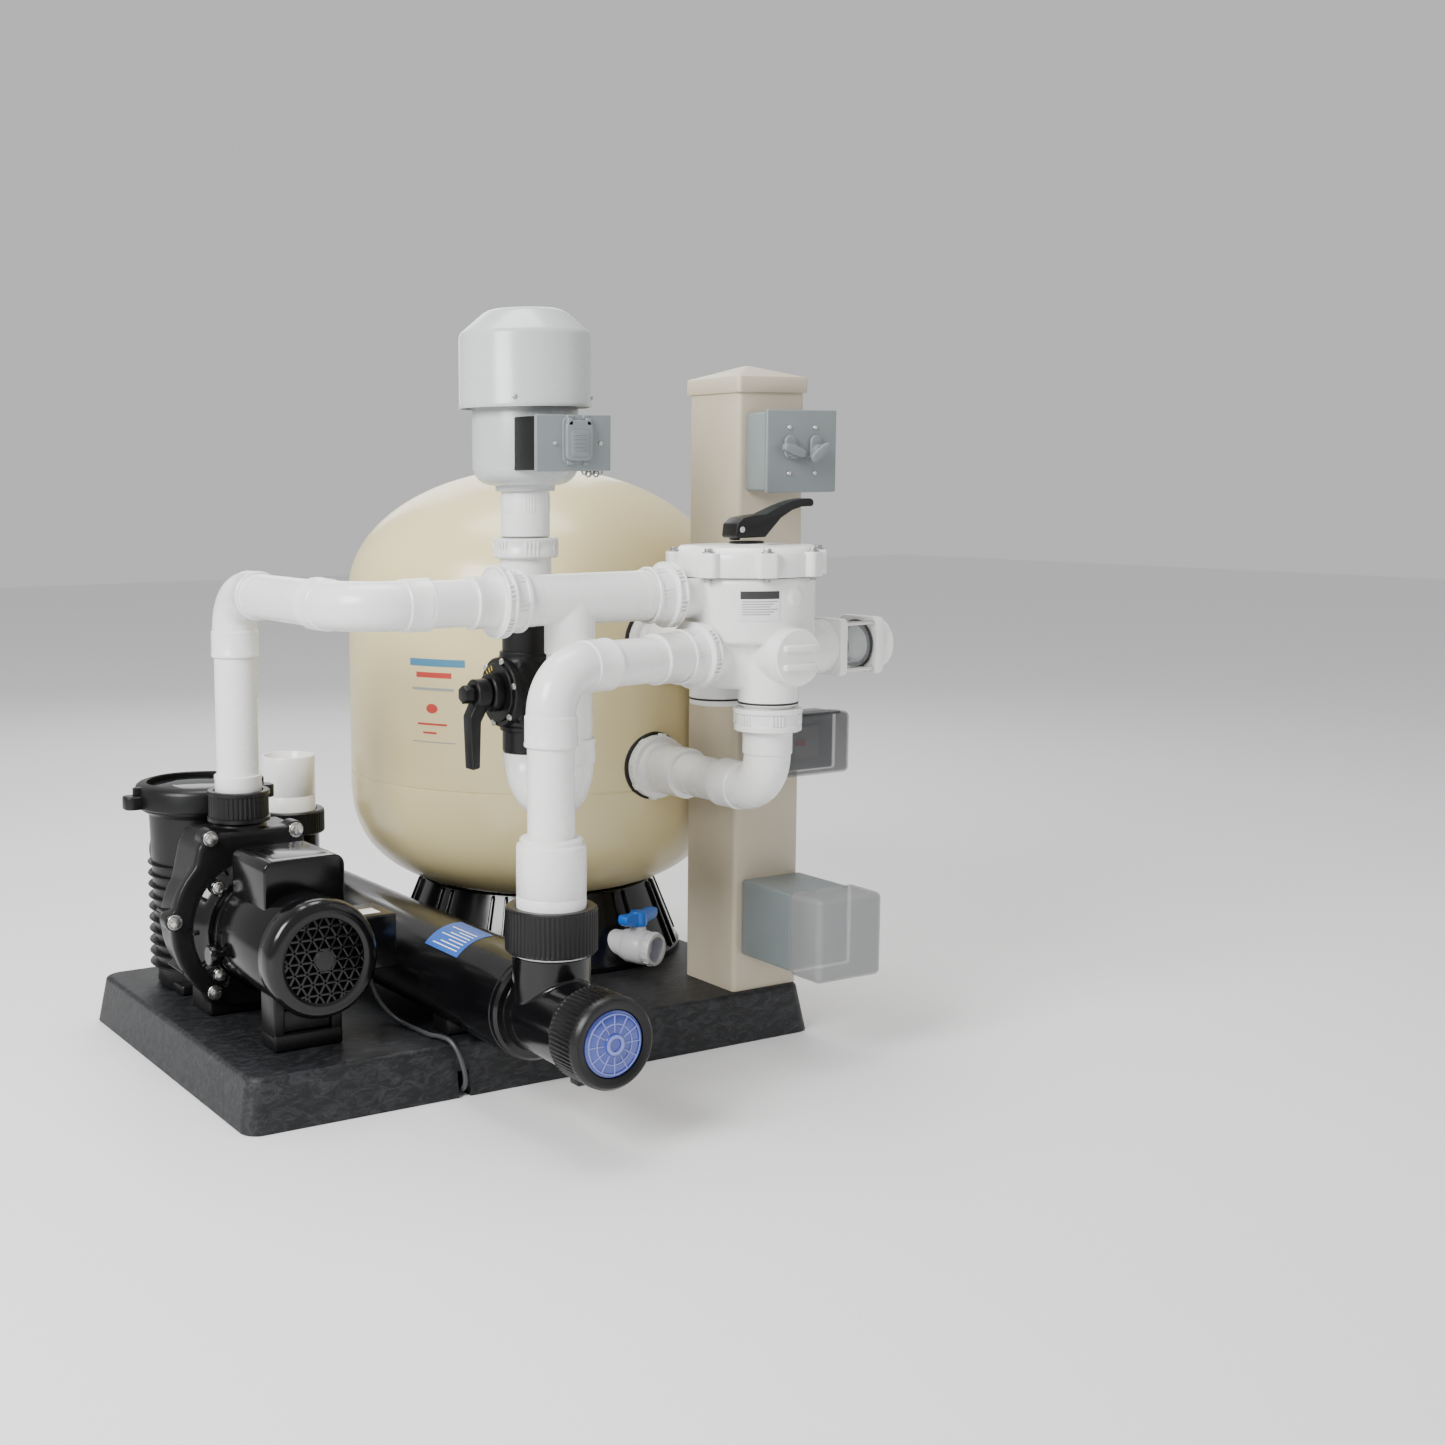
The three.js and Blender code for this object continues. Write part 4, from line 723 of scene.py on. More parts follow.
def tank_print():
    """A generic printed panel on the tank: bars of ink where a maker's print would be."""
    rows = [
        (551, 11, 0, 96, "ink_teal"),
        (534, 8, 12, 62, "ink_red"),
        (515, 4, 4, 74, "ink_grey"),
        (463, 3, 14, 52, "ink_red"),
        (450, 3, 24, 24, "ink_red"),
        (437, 1.6, 4, 76, "ink_grey"),
    ]
    left_edge = -160.0
    per_mm = 180 / (math.pi * TANK["radius"])
    for index, (z, height, inset, length, ink) in enumerate(rows):
        start = left_edge + inset * per_mm
        bar = patch(TANK["radius"] + 0.1, start, start + length * per_mm, z, z + height, 0.2)
        add(f"tank_print_{index + 1}", bar.at(TANK["x"], TANK["y"]), ink)
    roundel = lathe([(0, 0), (9, 0), (9, 0.3), (0, 0.3)], 40).by(Matrix.Diagonal((0.8, 1.1, 1.0, 1.0)))
    heading = left_edge + 40 * per_mm
    placed = roundel.at(TANK["radius"], 0, 0, axis="x").turned(heading).at(TANK["x"], TANK["y"], 488)
    add("tank_print_roundel", placed, "ink_red")


def skirt():
    """The black skirt: a flared ring with a foot flange and paired ribs."""
    wall = lathe(closed([
        (205, 72.3), (232, 72.3), (233, 74), (233, 81), (230, 84), (227, 86), (187, 186.5), (180, 187),
        (219, 84),
        (205, 84),
    ]), 120)
    rib_outline = [(228, 84), (233, 84), (231, 90), (193, 184), (187, 186), (184, 186)]
    rib = prism([(r, z) for r, z in rib_outline], -2.2, 2.2, 0.8,
        2).by(Matrix.Rotation(math.pi / 2, 4, "X"))
    pairs = total(around(rib, 12, start) for start in (8.0, 14.5))
    add("tank_skirt_ring", (wall + pairs).at(TANK["x"], TANK["y"]), "gloss_black",
        stands_for=["tank_skirt"])


def bulkhead(node, z):
    """A flanged fitting through the tank wall: gasket, flange, lugged nut and spigot."""
    x, y = 261, TANK["y"] - TANK["radius"]
    fitting = lathe(closed([
        (26, -33.6), (31.5, -33.6), (31.5, -26), (35, -24), (38, -17), (45.5, -17), (47, -15.5), (47, -6),
        (45, -4.5),
        (45, -0.5), (26, -0.5),
    ]), 96)
    lug = block(45, -5, -15, 49.5, 5, -6, 1.2)
    fitting = fitting + around(lug, 8, 10)
    add(node + "_flange", fitting.at(x, y, z, "y"), "pvc", stands_for=[node])
    gasket = ring(51, 30, -0.4, 7, 1.2, 96)
    add(node + "_gasket", gasket.at(x, y, z, "y"), "rubber")


def drain_valve():
    """The small drain valve at the foot of the skirt."""
    def along(shape):
        return shape.at(axis="x").turned(DRAIN["heading"]).at(DRAIN["x"], DRAIN["y"], DRAIN["z"])

    hexagon = [(22 * math.cos(math.radians(60 * i)), 22 * math.sin(math.radians(60 * i))) for i in range(6)]
    body = lathe(closed([
        (16, -38), (20, -38), (20, 2), (23.5, 4), (23.5, 9), (26, 12), (26.5, 14), (26.5, 41), (25, 44),
        (22.5, 46),
        (24, 48), (25.6, 50), (25.6, 59), (24.4, 61.6), (19.6, 61.6), (19.6, 40), (16, 38),
    ]), 72)
    body = body + prism(hexagon, 2, 11, 1.0)
    bar = block(25.3, -1.2, 50.5, 26.4, 1.2, 58.5, 0.4, 2)
    body = along(body + around(bar, 16))
    heading = math.radians(DRAIN["heading"])
    x = DRAIN["x"] + 27 * math.cos(heading)
    y = DRAIN["y"] + 27 * math.sin(heading)
    boss = lathe([(0, 20), (13.5, 20), (12.5, 29), (11, 32.6), (0, 32.6)], 40)
    add("drain_valve_body", body + boss.at(x, y, DRAIN["z"]), "pvc_grey", stands_for=["drain_body"])
    ball = lathe([(0, -18)] + [(18 * math.cos(math.radians(a)), 18 * math.sin(math.radians(a)))
                               for a in range(-75, 76, 15)] + [(0, 18)], 40)
    wing = [(-42, 46), (-40, 41), (-33, 37.5), (-16, 35.5), (16, 35.5), (33, 37.5), (40, 41), (42, 46),
        (41.5, 53),
            (38, 55), (15, 53), (10, 54.5), (-10, 54.5), (-15, 53), (-38, 55), (-41.5, 53)]
    blade = prism(wing, -8, 8, 2.2, 4).by(Matrix.Rotation(math.pi / 2, 4, "X"))
    hub = lathe([(0, 33.4), (13, 33.4), (14, 35), (13, 50), (11, 55), (0, 56)], 40)
    stem = rod(5.5, 14, 40, 24)
    handle = (ball + blade + hub + stem).turned(20).at(x, y, DRAIN["z"])
    add("drain_valve_handle", handle, "blue", "drain_handle", ["drain_handle"])


# ---------------------------------------------------------------- pump
def at_pump(shape):
    """Lays a shape made along +Z on the pump's axis, heading +Y."""
    return shape.at(PUMP["x"], 0, PUMP["z"], "y")


def pump_pot():
    """The strainer pot with its cooling fins, basket, lid and ring."""
    x, y = PUMP["x"], PUMP["pot_y"]
    wall = lathe([
        (0, 72.5), (64, 72.5), (66, 74), (70, 112), (75, 300), (76, 334), (82, 338), (88, 342), (88, 351),
        (86, 352),
        (72, 352), (70, 346), (68, 120), (60, 90), (0, 90),
    ], 96)
    fins = total(
        lathe(closed([(66, z - 2.2), (79, z - 1.2), (80, z), (79, z + 1.2), (66, z + 2.2)]), 96)
        for z in range(108, 262, 17)
    )
    base = block(-60, -66, 72.4, 60, 40, 88, 4.0)
    neck = rod(40, 0, 60, rim=2).at(0, -80, PUMP["z"], "y")
    inlet = lathe(closed([
        (26.5, 60), (42, 60), (42, 88), (45, 90), (46, 92), (46, 102), (44.8, 103.8), (26.5, 103.8),
    ])).at(0, 0, 262, "y")
    add("strainer_pot_body", (wall + fins + base + neck + inlet).at(x, y), "black",
        stands_for=["strainer_pot"])
    cup = lathe([
        (0, 96.5), (45, 96.5), (51, 108), (60, 319), (66, 321.5), (66, 325.5), (57, 325.5), (49.5, 110),
        (0, 99.5),
    ], 72)
    add("strainer_basket_cup", cup.at(x, y), "pvc_grey", stands_for=["strainer_basket"])
    band = lathe(closed([
        (89, 346.4), (94.5, 346.4), (96, 348), (96, 372), (94, 377), (90, 380), (80, 382.6), (78.4, 381),
        (78.4, 372),
        (80, 366), (89, 361),
    ]), 96)
    loop = prism(
        [(90, -15), (110, -15), (117, -11), (119, -5), (119, 5), (117, 11), (110, 15), (90, 15)], 347,
        367, 3.0, 4
    )
    web = block(84, -4, 350, 104, 4, 379, 2.0)
    lugs = around(loop + web, 2)
    add("strainer_lid_ring", (band + lugs).at(x, y), "black", "lid_ring", ["lid_ring"])
    window = lathe([(0, 353), (86, 353), (86, 359), (76, 364), (76, 371), (70, 375), (40, 378.5),
        (0, 379.6)], 96)
    add("strainer_lid_window", window.at(x, y), "lid_clear", "pump_lid", ["strainer_lid"])
    spokes = around(block(0, -1.6, 352.8, 74, 1.6, 356, 0.6, 2), 6)
    add("strainer_lid_ribs", spokes.at(x, y), "black", "pump_lid")


VOLUTE_BOLTS = ((-60, 126), (70, 126), (-116, 14), (-59, -94), (110, 28), (78, -82))  # from the pump's axis


def pump_volute():
    """The pump casing: a round volute with a shouldered head, its flange bolts and its foot."""
    bowl = at_pump(lathe([(0, -23.5), (119, -23.5), (120, -22), (120, -6), (114, -3), (110, 10),
        (109, 55), (84, 82),
                          (60, 91.5), (0, 91.5)], 96))
    shoulders = prism(
        [(-74, 150), (74, 150), (100, 205), (98, 260), (84, 318), (76, 338), (-66, 338), (-78, 318),
        (-92, 260),
         (-100, 205)], -60, 23, 6.0, 4
    ).by(Matrix.Rotation(math.pi / 2, 4, "X")).at(PUMP["x"])
    ears = total(
        at_pump(rod(13.5, -23.5, 4, 32, 1.5)).by(Matrix.Translation((dx, 0, dz))) for dx, dz in VOLUTE_BOLTS
    )
    lip = at_pump(lathe(closed([(112, -16), (118, -23.4), (120, -20), (120, -6), (112, -4)]), 96))
    port = rod(38, 318, 345.6, rim=1.5).at(PUMP["x"], PUMP["riser_y"])
    foot = block(-64, -13, 72.4, 64, 57, 120, 4.0).at(PUMP["x"])
    add_moulded("pump_volute", bowl + shoulders + ears + lip + port + foot, "black",
        voxel=2.5, rounds=6,
                stands_for=["volute"])
    ribs = total(
        at_pump(block(-2, 96, -20, 2, 121.5, 40, 0.8, 2).turned(angle))
        for angle in (60, 100, 140, 220, 260, 300)
    )
    add("pump_volute_ribs", ribs, "black")
    for index, (dx, dz) in enumerate(VOLUTE_BOLTS):
        bolt = hex_bolt(7.5, 8).at(PUMP["x"] + dx, -23.6, PUMP["z"] + dz, "-y")
        add(f"volute_bolt_{index + 1}", bolt, "steel")


def pump_front():
    """Seal plate, motor shell, capacitor cover, junction box and fan cover."""
    plate = at_pump(lathe([(0, -59.6), (60, -59.6), (80, -59.6), (81, -52), (91, -40), (94, -37),
        (94, -24.6),
                           (0, -24.6)], 96))
    spokes = total(at_pump(block(-3, 62, -44, 3, 97, -26, 1.2, 2).turned(a)) for a in range(0, 360, 30))
    pads = total(at_pump(rod(11, -52, -25, 28, 1).by(Matrix.Translation((0, 87, 0))).turned(a))
                 for a in (45, 135, 225, 315))
    add("pump_seal_plate", plate + spokes + pads, "gloss_black", stands_for=["seal_plate"])
    for index, angle in enumerate((45, 135, 225, 315)):
        bolt = at_pump(hex_bolt(6.0, 6.5).at(0, 87, -52.2, "-z").turned(angle))
        add(f"seal_plate_bolt_{index + 1}", bolt, "steel")
    shell = at_pump(lathe([(0, -235.6), (74, -235.6), (76, -233), (76, -70), (73, -61), (0, -60.6)], 96))
    bands = total(at_pump(lathe(closed([(74, z), (77.2, z + 1), (77.2, z + 7), (74, z + 8)]), 96))
        for z in (-78, -232))
    add("motor_barrel", shell + bands, "gloss_black", stands_for=["motor_shell"])
    knob = rod(9, 0, 8, 40, 1) + lathe([(0, 8), (13, 8), (14, 10), (14, 19), (12.5, 21), (0, 21)], 48)
    knob = knob + around(block(13, -1.3, 9, 14.9, 1.3, 20, 0.5, 2), 14)
    add("motor_knob", knob.at(PUMP["x"] - 74, -92, 184, "-x"), "gloss_black")
    foot = block(-50, -212, 72.5, 50, -165, 96, 3.0) + block(-50, -211, 90, -34, -166, 150, 3.0)
    foot = foot + block(34, -211, 90, 50, -166, 150, 3.0) + block(-44, -206, 96, 44, -171, 128, 3.0)
    add("motor_foot", foot.at(PUMP["x"]), "black")
    cover = prism(rounded_rectangle(119, 76, 15, 8), -189.5, -78.5, 3.0,
        4).by(Matrix.Rotation(-math.pi / 2, 4, "X"))
    cover = cover.at(PUMP["x"] + 8, 0, 288.6)
    base = block(-50, -184, 248, 66, -84, 262, 2.0).at(PUMP["x"])
    panel = block(-32, -176, 326.2, 48, -92, 326.9, 0.3, 2).at(PUMP["x"])
    add("capacitor_housing", cover + base + panel, "gloss_black",
        stands_for=["capacitor_cover"])
    box = block(-255, -205, 164, -189, -131, 239, 3.0)
    add("junction_housing", box, "gloss_black", stands_for=["junction_box"])
    sticker = block(-238, -190, 239.0, -206, -162, 239.4, 0.1, 1)
    add("junction_sticker", sticker, "label_white")
    fan_cover()


def fan_cover():
    """The fan cover: a rolled rim and a lattice of triangles over a dark fan."""
    front = -267.5
    rim = at_pump(lathe(closed([
        (73, -236.6), (79.6, -236.6), (80, -240), (80, -256), (77, -263.5), (71, -267), (62, -267.4),
        (57, -266),
        (56, -262), (63, -262), (72, -258), (74, -252),
    ]), 96))
    hub = at_pump(rod(15, front + 1, front + 8, 48, 1.5))
    add("fan_cover_rim", rim + hub, "gloss_black", stands_for=["fan_cover"])
    bars = Shape()
    pitch = 15.0
    reach = 57.0
    for turn in (0, 60, 120):
        for step in range(-3, 4):
            offset = step * pitch
            half = math.sqrt(max(reach**2 - offset**2, 0.0))
            bar = block(-half, offset - 1.7, -266.4, half, offset + 1.7, -263.4, 0.6, 2)
            bars = bars + bar.turned(turn)
    add("fan_cover_lattice", at_pump(bars), "gloss_black")
    fan = at_pump(lathe([(0, -257.5), (56, -257.5), (56, -247), (0, -247)], 64))
    add("motor_fan", fan, "deep_black", "pump_rotor", ["pump_rotor"])
    shaft = at_pump(rod(7.5, -246, 2, 24) + lathe([(0, 2), (70, 2), (70, 11), (32, 20), (0, 38)], 64))
    add("pump_impeller", shaft, "pvc_grey", "pump_rotor")


def discharge_nut():
    """The black ribbed nut on the pump's outlet."""
    def wave(index, side):
        return 0.0 if side % 4 < 2 or index not in (3, 4) else -1.4

    nut = lathe(closed([(35, 346.8), (45, 346.8), (45, 352), (43.2, 353), (43.2, 383), (45, 384),
        (45, 388.5),
                        (43.5, 389.8), (36, 389.8)]), 160, wave)
    add("discharge_nut_ring", nut.at(PUMP["x"], PUMP["riser_y"]), "black",
        stands_for=["discharge_nut"])


# ---------------------------------------------------------------- white pipework
def discharge_line():
    """From the pump up, over and along to the manifold's first union."""
    x, y, z = PUMP["x"], PUMP["riser_y"], MANIFOLD_Z
    corner, low_bend = 66, 52
    riser = rod(PIPE, 400, z - low_bend - 30).at(x, y)
    add("riser_pipe", riser, "pvc", stands_for=["discharge_line"])
    coupling = lathe(closed([(30, 347.2), (33.4, 347.2), (33.4, 404), (34, 406), (34, 411), (33, 412),
        (30, 412)]))
    add("riser_coupling", coupling.at(x, y), "pvc")
    add("riser_elbow", quarter_elbow(low_bend, 38, 38).turned(-90).at(x, y, z), "pvc")
    start, end = y - low_bend - 30, CORNER_Y + corner + 30
    add("cross_pipe", rod(PIPE, 0, start - end).at(x, start, z, "-y"), "pvc")
    elbow = quarter_elbow(corner, 38, 38).by(Matrix.Rotation(math.pi / 2, 4, "X")).at(x, CORNER_Y, z)
    add("corner_elbow", elbow, "pvc")
    run_end = (VALVE["x"] - x) / math.cos(math.radians(MANIFOLD_LEAN)) - corner - 30
    add("manifold_pipe", along_manifold(rod(PIPE, 422, run_end)), "pvc")
    add("union_tail", along_manifold(socket(373, 427)), "pvc")
    nut = union_nut(47, 41, 38).by(Matrix.Rotation(math.pi, 4, "X")).at(z=392)
    add("manifold_nut", along_manifold(nut), "pvc", stands_for=["manifold_union_nut"])


def air_tee():
    """The tee under the blower, with its unions."""
    run = rod(33.4, 138.6, 371.8, rim=1.5)
    bands = ring(SOCKET, 30, 162, 176, 1.0) + ring(SOCKET, 30, 334, 354, 1.0)
    branch = rod(33, 598, MANIFOLD_Z, rim=1.2).at(BLOWER["x"], MANIFOLD_Y)
    add_moulded("air_tee_body", along_manifold(run + bands) + branch, "pvc", voxel=1.6, rounds=4,
                stands_for=["air_tee"])
    nut = union_nut(44, 38, 41).at(z=121)
    add("valve_side_nut", along_manifold(nut), "pvc", stands_for=["valve_union_nut"])


def return_line():
    """From the valve's return port to the front of the UV unit."""
    x, y, z = UV["x"], UV["port_y"], VALVE["return"]
    bend = 56
    add("return_pipe", along_return(rod(PIPE, 170, RETURN_SPAN - bend - 30)), "pvc",
        stands_for=["return_line"])
    add("return_tail", along_return(socket(113, 183)), "pvc")
    elbow = quarter_elbow(bend, 40, 42).turned(RETURN_HEADING + 180).at(x, y, z)
    add("return_elbow", elbow, "pvc")
    add("drop_pipe", rod(PIPE, 365, z - bend - 35).at(x, y), "pvc")
    coupling = lathe([(0, 233), (43.4, 233), (44.4, 236), (44.4, 303), (43.7, 304), (44.4, 305),
        (44.4, 366),
                      (43.4, 369), (40, 371), (40, 376), (38.5, 377.8), (30, 377.8), (0, 377.8)], 96)
    add("drop_coupling", coupling.at(x, y), "pvc")
    add("return_nut", along_return(union_nut(45, 37, 42).at(z=95)), "pvc",
        stands_for=["return_union_nut"])


def tank_line():
    """From the valve's bottom port to the lower bulkhead."""
    x, y = VALVE["x"], VALVE["bottom_y"]
    bend, z = 52, 400
    elbow = quarter_elbow(bend, 47, 42).by(Matrix.Rotation(math.pi, 4, "X")).turned(90).at(x, y, z)
    add("tank_elbow_moulding", elbow, "pvc", stands_for=["tank_elbow"])
    end = TANK["y"] - TANK["radius"] - 34.4
    add("tank_pipe", rod(PIPE, y + bend + 30, end).at(x, 0, z, "y"), "pvc")
    add("tank_adapter", rod(36.6, -258, end, rim=1.4).at(x, 0, z, "y"), "pvc")
    nut = lathe(closed([(34.5, 484.4), (43, 484.4), (45.5, 486), (45.5, 492), (43.5, 494), (43.5, 508),
        (46.5, 510),
                        (46.5, 514), (45, 515.6), (34.5, 515.6)]), 96)
    bar = block(42.5, -1.4, 494, 45.6, 1.4, 508, 0.6, 2)
    grips = total(around(bar, 6, start=6 * i) for i in range(4))
    add("tank_line_nut", (nut + grips).at(x, y), "pvc", stands_for=["tank_union_nut"])


# ---------------------------------------------------------------- multiport valve
def valve():
    """The multiport valve: body, lid, lever, plug and window."""
    port = VALVE["port"]
    heading = RETURN_HEADING
    body = rod(VALVE["radius"], 604, 691.4, 96, 4)
    lower = lathe([(0, 541), (58, 541), (64, 546), (70, 562), (72, 588), (80, 606), (0, 612)], 96)

    def outlet(radius, start, end, degrees, z=port):
        return rod(radius, start, end, rim=1.0).at(axis="x").turned(degrees).at(z=z)

    ports = (
        outlet(33.6, 40, 137.6, 180 - MANIFOLD_LEAN, MANIFOLD_Z - 1)
        + outlet(SOCKET, 40, 111.6, heading, VALVE["return"])
        + outlet(37, 40, 99.6, -90)
        + outlet(SOCKET, 40, 180.6, 90)
        + outlet(37.6, 40, 137, 0)
        + rod(40, 519, 575, rim=1.2).at(0, VALVE["bottom_y"] - VALVE["y"])
        + rod(40, 509, 575, rim=1.2).at(0, VALVE["spare_y"] - VALVE["y"])
        + block(-38, -50, 546, 38, 60, 600, 6.0)
    )
    boss = rod(12, 84, 96, 32, 2).at(axis="x").turned(-84).at(z=667)
    moulding = at_valve(body + lower + ports + boss)
    add_moulded("valve_housing", moulding, "valve", voxel=2.0, rounds=6,
                cutters=at_valve(lathe([(0, 691.6), (125, 691.6), (125, 720), (0, 720)], 64)),
                stands_for=["valve_body"])
    neck = rod(33.4, 501, 525).at(VALVE["x"], VALVE["bottom_y"])
    add("valve_bottom_neck", neck, "valve")
    for name, y, z in (("bottom", VALVE["bottom_y"], 521.5), ("spare", VALVE["spare_y"], 516.5)):
        seal = ring(40.8, 30, z, z + 3.2, 1.0, 72)
        add(f"valve_seal_{name}", seal.at(VALVE["x"], y), "rubber")
    valve_lid()
    valve_lever()
    valve_label()
    plug = rod(38.6, 0.4, 13.6, 72, 2.0).at(0, -100, port, "-y")
    ribs = block(-26, -119.5, port + 8, 26, -112, port + 17, 3.0) + block(-26, -119.5, port - 17, 26,
        -112, port - 8, 3.0)
    add("waste_plug_cap", at_valve(plug + ribs), "valve", stands_for=["waste_plug"])


def valve_lid():
    """The valve's lid with eight bolted ears and a chamfered top."""
    plate = lathe([(0, 692.6), (97.5, 692.6), (98.5, 694), (98.5, 722), (97, 725), (90.5, 732), (88, 732.8),
                   (30, 732.8), (27, 735), (20, 735), (0, 735)], 96)
    ear = prism(rounded_rectangle(24, 30, 7, 6), 692.8, 725.5, 1.4).by(Matrix.Translation((98, 0, 0)))
    add("valve_lid_moulding", at_valve(plate + around(ear, 8, 22.5)), "valve",
        stands_for=["valve_lid"])
    for index in range(8):
        turn = 22.5 + 45 * index
        bolt = hex_bolt(5.6, 6.0).at(100.5, 0, 725.6).turned(turn)
        nut = hex_bolt(5.0, 5.0, 1.2).at(axis="-z").at(100.5, 0, 692.7).turned(turn)
        add(f"valve_bolt_{index + 1}", at_valve(bolt + nut), "dull_steel")


def valve_lever():
    """The black lever on its hub and pin."""
    hub = lathe([(0, 735.4), (23, 735.4), (24, 736.2), (24, 737.6), (22, 738.4), (0, 738.4)], 64)
    knuckle = block(-26, -5, 740, -14, 5, 754, 1.5)
    drum = lathe([(0, 641), (77, 641), (77, 663), (22, 671), (10, 680), (10, 737), (0, 737)], 64)
    add("valve_stem_hub", at_valve(hub + knuckle + drum), "black", "valve_rotor",
        ["valve_rotor"])
    side = [(-30, 746), (-28, 743), (20, 743.5), (31, 753), (50, 769), (70, 779), (86, 783.5), (102, 784),
        (104, 787),
            (103.6, 792), (100, 795), (90, 794.6), (72, 792), (50, 785.4), (22, 774.6), (0, 773),
            (-18, 770),
            (-28, 762)]
    lever = prism(side, -16.5, 16.5, 3.5, 4).by(Matrix.Rotation(math.pi / 2, 4, "X"))
    for point in lever.points:
        narrow = min(max((point.x - 20) / 40, 0.0), 1.0) * (1 - min(max((point.x - 84) / 24, 0.0), 1.0))
        point.y *= 1 - 0.32 * narrow
    pin = rod(4.2, -17.5, 17.5, 24, 0.6).at(-20, 0, 754.5, "y")
    add("valve_lever_arm", at_valve(lever), "black", "valve_handle", ["valve_handle"])
    add("valve_lever_pin", at_valve(pin), "steel", "valve_handle")


def valve_label():
    """A generic notice on the valve: a dark header and rows of grey bars, with no lettering."""
    radius = VALVE["radius"] + 0.5
    z0, z1 = 636, 676
    start, end = -133.0, -100.0
    add("valve_label", at_valve(patch(radius, start, end, z0, z1, 0.2)), "label_white")
    add("valve_label_header",
        at_valve(patch(radius + 0.2, start + 0.5, end - 0.5, z1 - 11, z1 - 0.6, 0.15)),
        "ink_black")
    rows = total(patch(radius + 0.2, start + 2, end - 2 - (i % 3) * 3, z1 - 15 - 3.4 * i,
        z1 - 13.6 - 3.4 * i, 0.12)
                 for i in range(6))
    add("valve_label_rows", at_valve(rows), "ink_grey")


def sight_glass():
    """The waste port's window: two plates, a clear block, O-rings and tie screws."""
    z = VALVE["port"]

    def plate(x0, x1):
        body = prism(rounded_rectangle(80, 80, 9, 6), x0, x1, 1.5).at(axis="x")
        return body.by(Matrix.Translation((0, 0, z)))

    flange = at_valve(plate(135, 147.6))
    add("sight_glass_inner_plate", flange, "valve")
    outer = at_valve(plate(200.4, 213))
    mouth = at_valve(lathe(closed([(26.5, 214), (35, 214), (36, 215), (36, 234.6), (34.6, 235.8),
        (26.5, 235.8)]))
                     .at(0, 0, z, "x"))
    add("sight_glass_outer_plate", outer, "valve")
    add("sight_glass_outlet", mouth, "valve")
    clear = lathe(closed([(27, 148.4), (33, 148.4), (33, 199.4), (27, 199.4)]), 72).at(0, 0, z, "x")
    add("sight_glass_window", at_valve(clear), "clear", stands_for=["sight_glass"])
    for name, x in (("inner", 150), ("outer", 194)):
        seal = ring(35, 26.5, x, x + 4, 1.2, 72).at(0, 0, z, "x")
        add(f"sight_glass_seal_{name}", at_valve(seal), "rubber")
    rods = total(rod(3.2, 140, 206, 20).at(0, dy, z + dz, "x") for dy in (-32, 32) for dz in (-32, 32))
    heads = total(pan_screw(5, 2.6).at(213, dy, z + dz, "x") for dy in (-32, 32) for dz in (-32, 32))
    add("sight_glass_ties", at_valve(rods), "steel")
    add("sight_glass_screws", at_valve(heads), "steel")


# ---------------------------------------------------------------- blower and air line
def at_blower(shape):
    """Moves a shape to the blower's axis."""
    return shape.at(BLOWER["x"], BLOWER["y"])


def blower():
    """The air blower with its hood, wiring box and air line down to the tee."""
    hood = lathe(closed([
        (86.2, 918.4), (88.6, 918.4), (89, 920), (89, 924), (88, 925.5), (88, 1011), (86.5, 1016),
        (84, 1019),
        (56, 1042.6), (50, 1046), (44, 1047.8), (0.01, 1047.8), (0.01, 1044), (43, 1044), (52, 1041),
        (83, 1016.5),
        (86.2, 1011),
    ]), 120)
    add("blower_hood", at_blower(hood), "blower", stands_for=["blower_cap"])
    bowl = [(0, 989), (68, 989), (71, 984), (71, 845)]
    for i in range(9):
        angle = i / 8 * math.pi / 2
        bowl.append((41 + 30 * math.cos(angle), 843 - 27 * math.sin(angle)))
    bowl += [(40, 814.5), (40, 809.5), (38.5, 808.5), (0, 808.5)]
    add("blower_bowl", at_blower(lathe(bowl, 96)), "blower",
        stands_for=["blower_housing"])
    tabs = around(block(70, -7, 926, 84, 7, 932, 1.0), 3, 30)
    add("blower_hood_tabs", at_blower(tabs), "blower")
    screws = total(pan_screw(3.4, 2.2).at(88.2, 0, 931, "x").turned(a) for a in (-130, -35, 90))
    add("blower_hood_screws", at_blower(screws), "dull_steel")
    neck = lathe([(0, 748), (31.5, 748), (33, 749.4), (33, 804), (32, 808), (0, 808)], 72)
    bars = total(around(block(32, -1.3, 780, 33.6, 1.3, 803, 0.5, 2), 6, start=6.5 * i) for i in range(4))
    add("blower_neck", at_blower(neck + bars), "pvc")
    nut = lathe(closed([(34, 720), (42, 720), (44, 722), (44, 731), (42.5, 733), (42.5, 741), (44, 743),
        (44, 745.4),
                        (42.6, 746.7), (34, 746.7)]), 96)
    grips = total(around(block(42.6, -1.6, 723, 44.6, 1.6, 742, 0.7, 2), 6, start=7 * i) for i in range(4))
    add("blower_union_nut", at_blower(nut + grips), "pvc")
    tail = lathe([(0, 640.6), (PIPE, 640.6), (PIPE, 690), (33, 692), (35, 694), (35, 722), (0, 722)], 72)
    add("blower_tail_pipe", at_blower(tail), "pvc", stands_for=["air_pipe"])
    rotor = lathe([(0, 833), (8, 833), (8, 846), (54, 846), (54, 872), (8, 876), (8, 900), (42, 904),
        (42, 960),
                   (8, 964), (8, 975), (0, 975)], 64)
    add("blower_turbine", at_blower(rotor), "dull_steel", "blower_rotor", ["blower_rotor"])
    wiring_box()
    air_valve()
    u_bend()


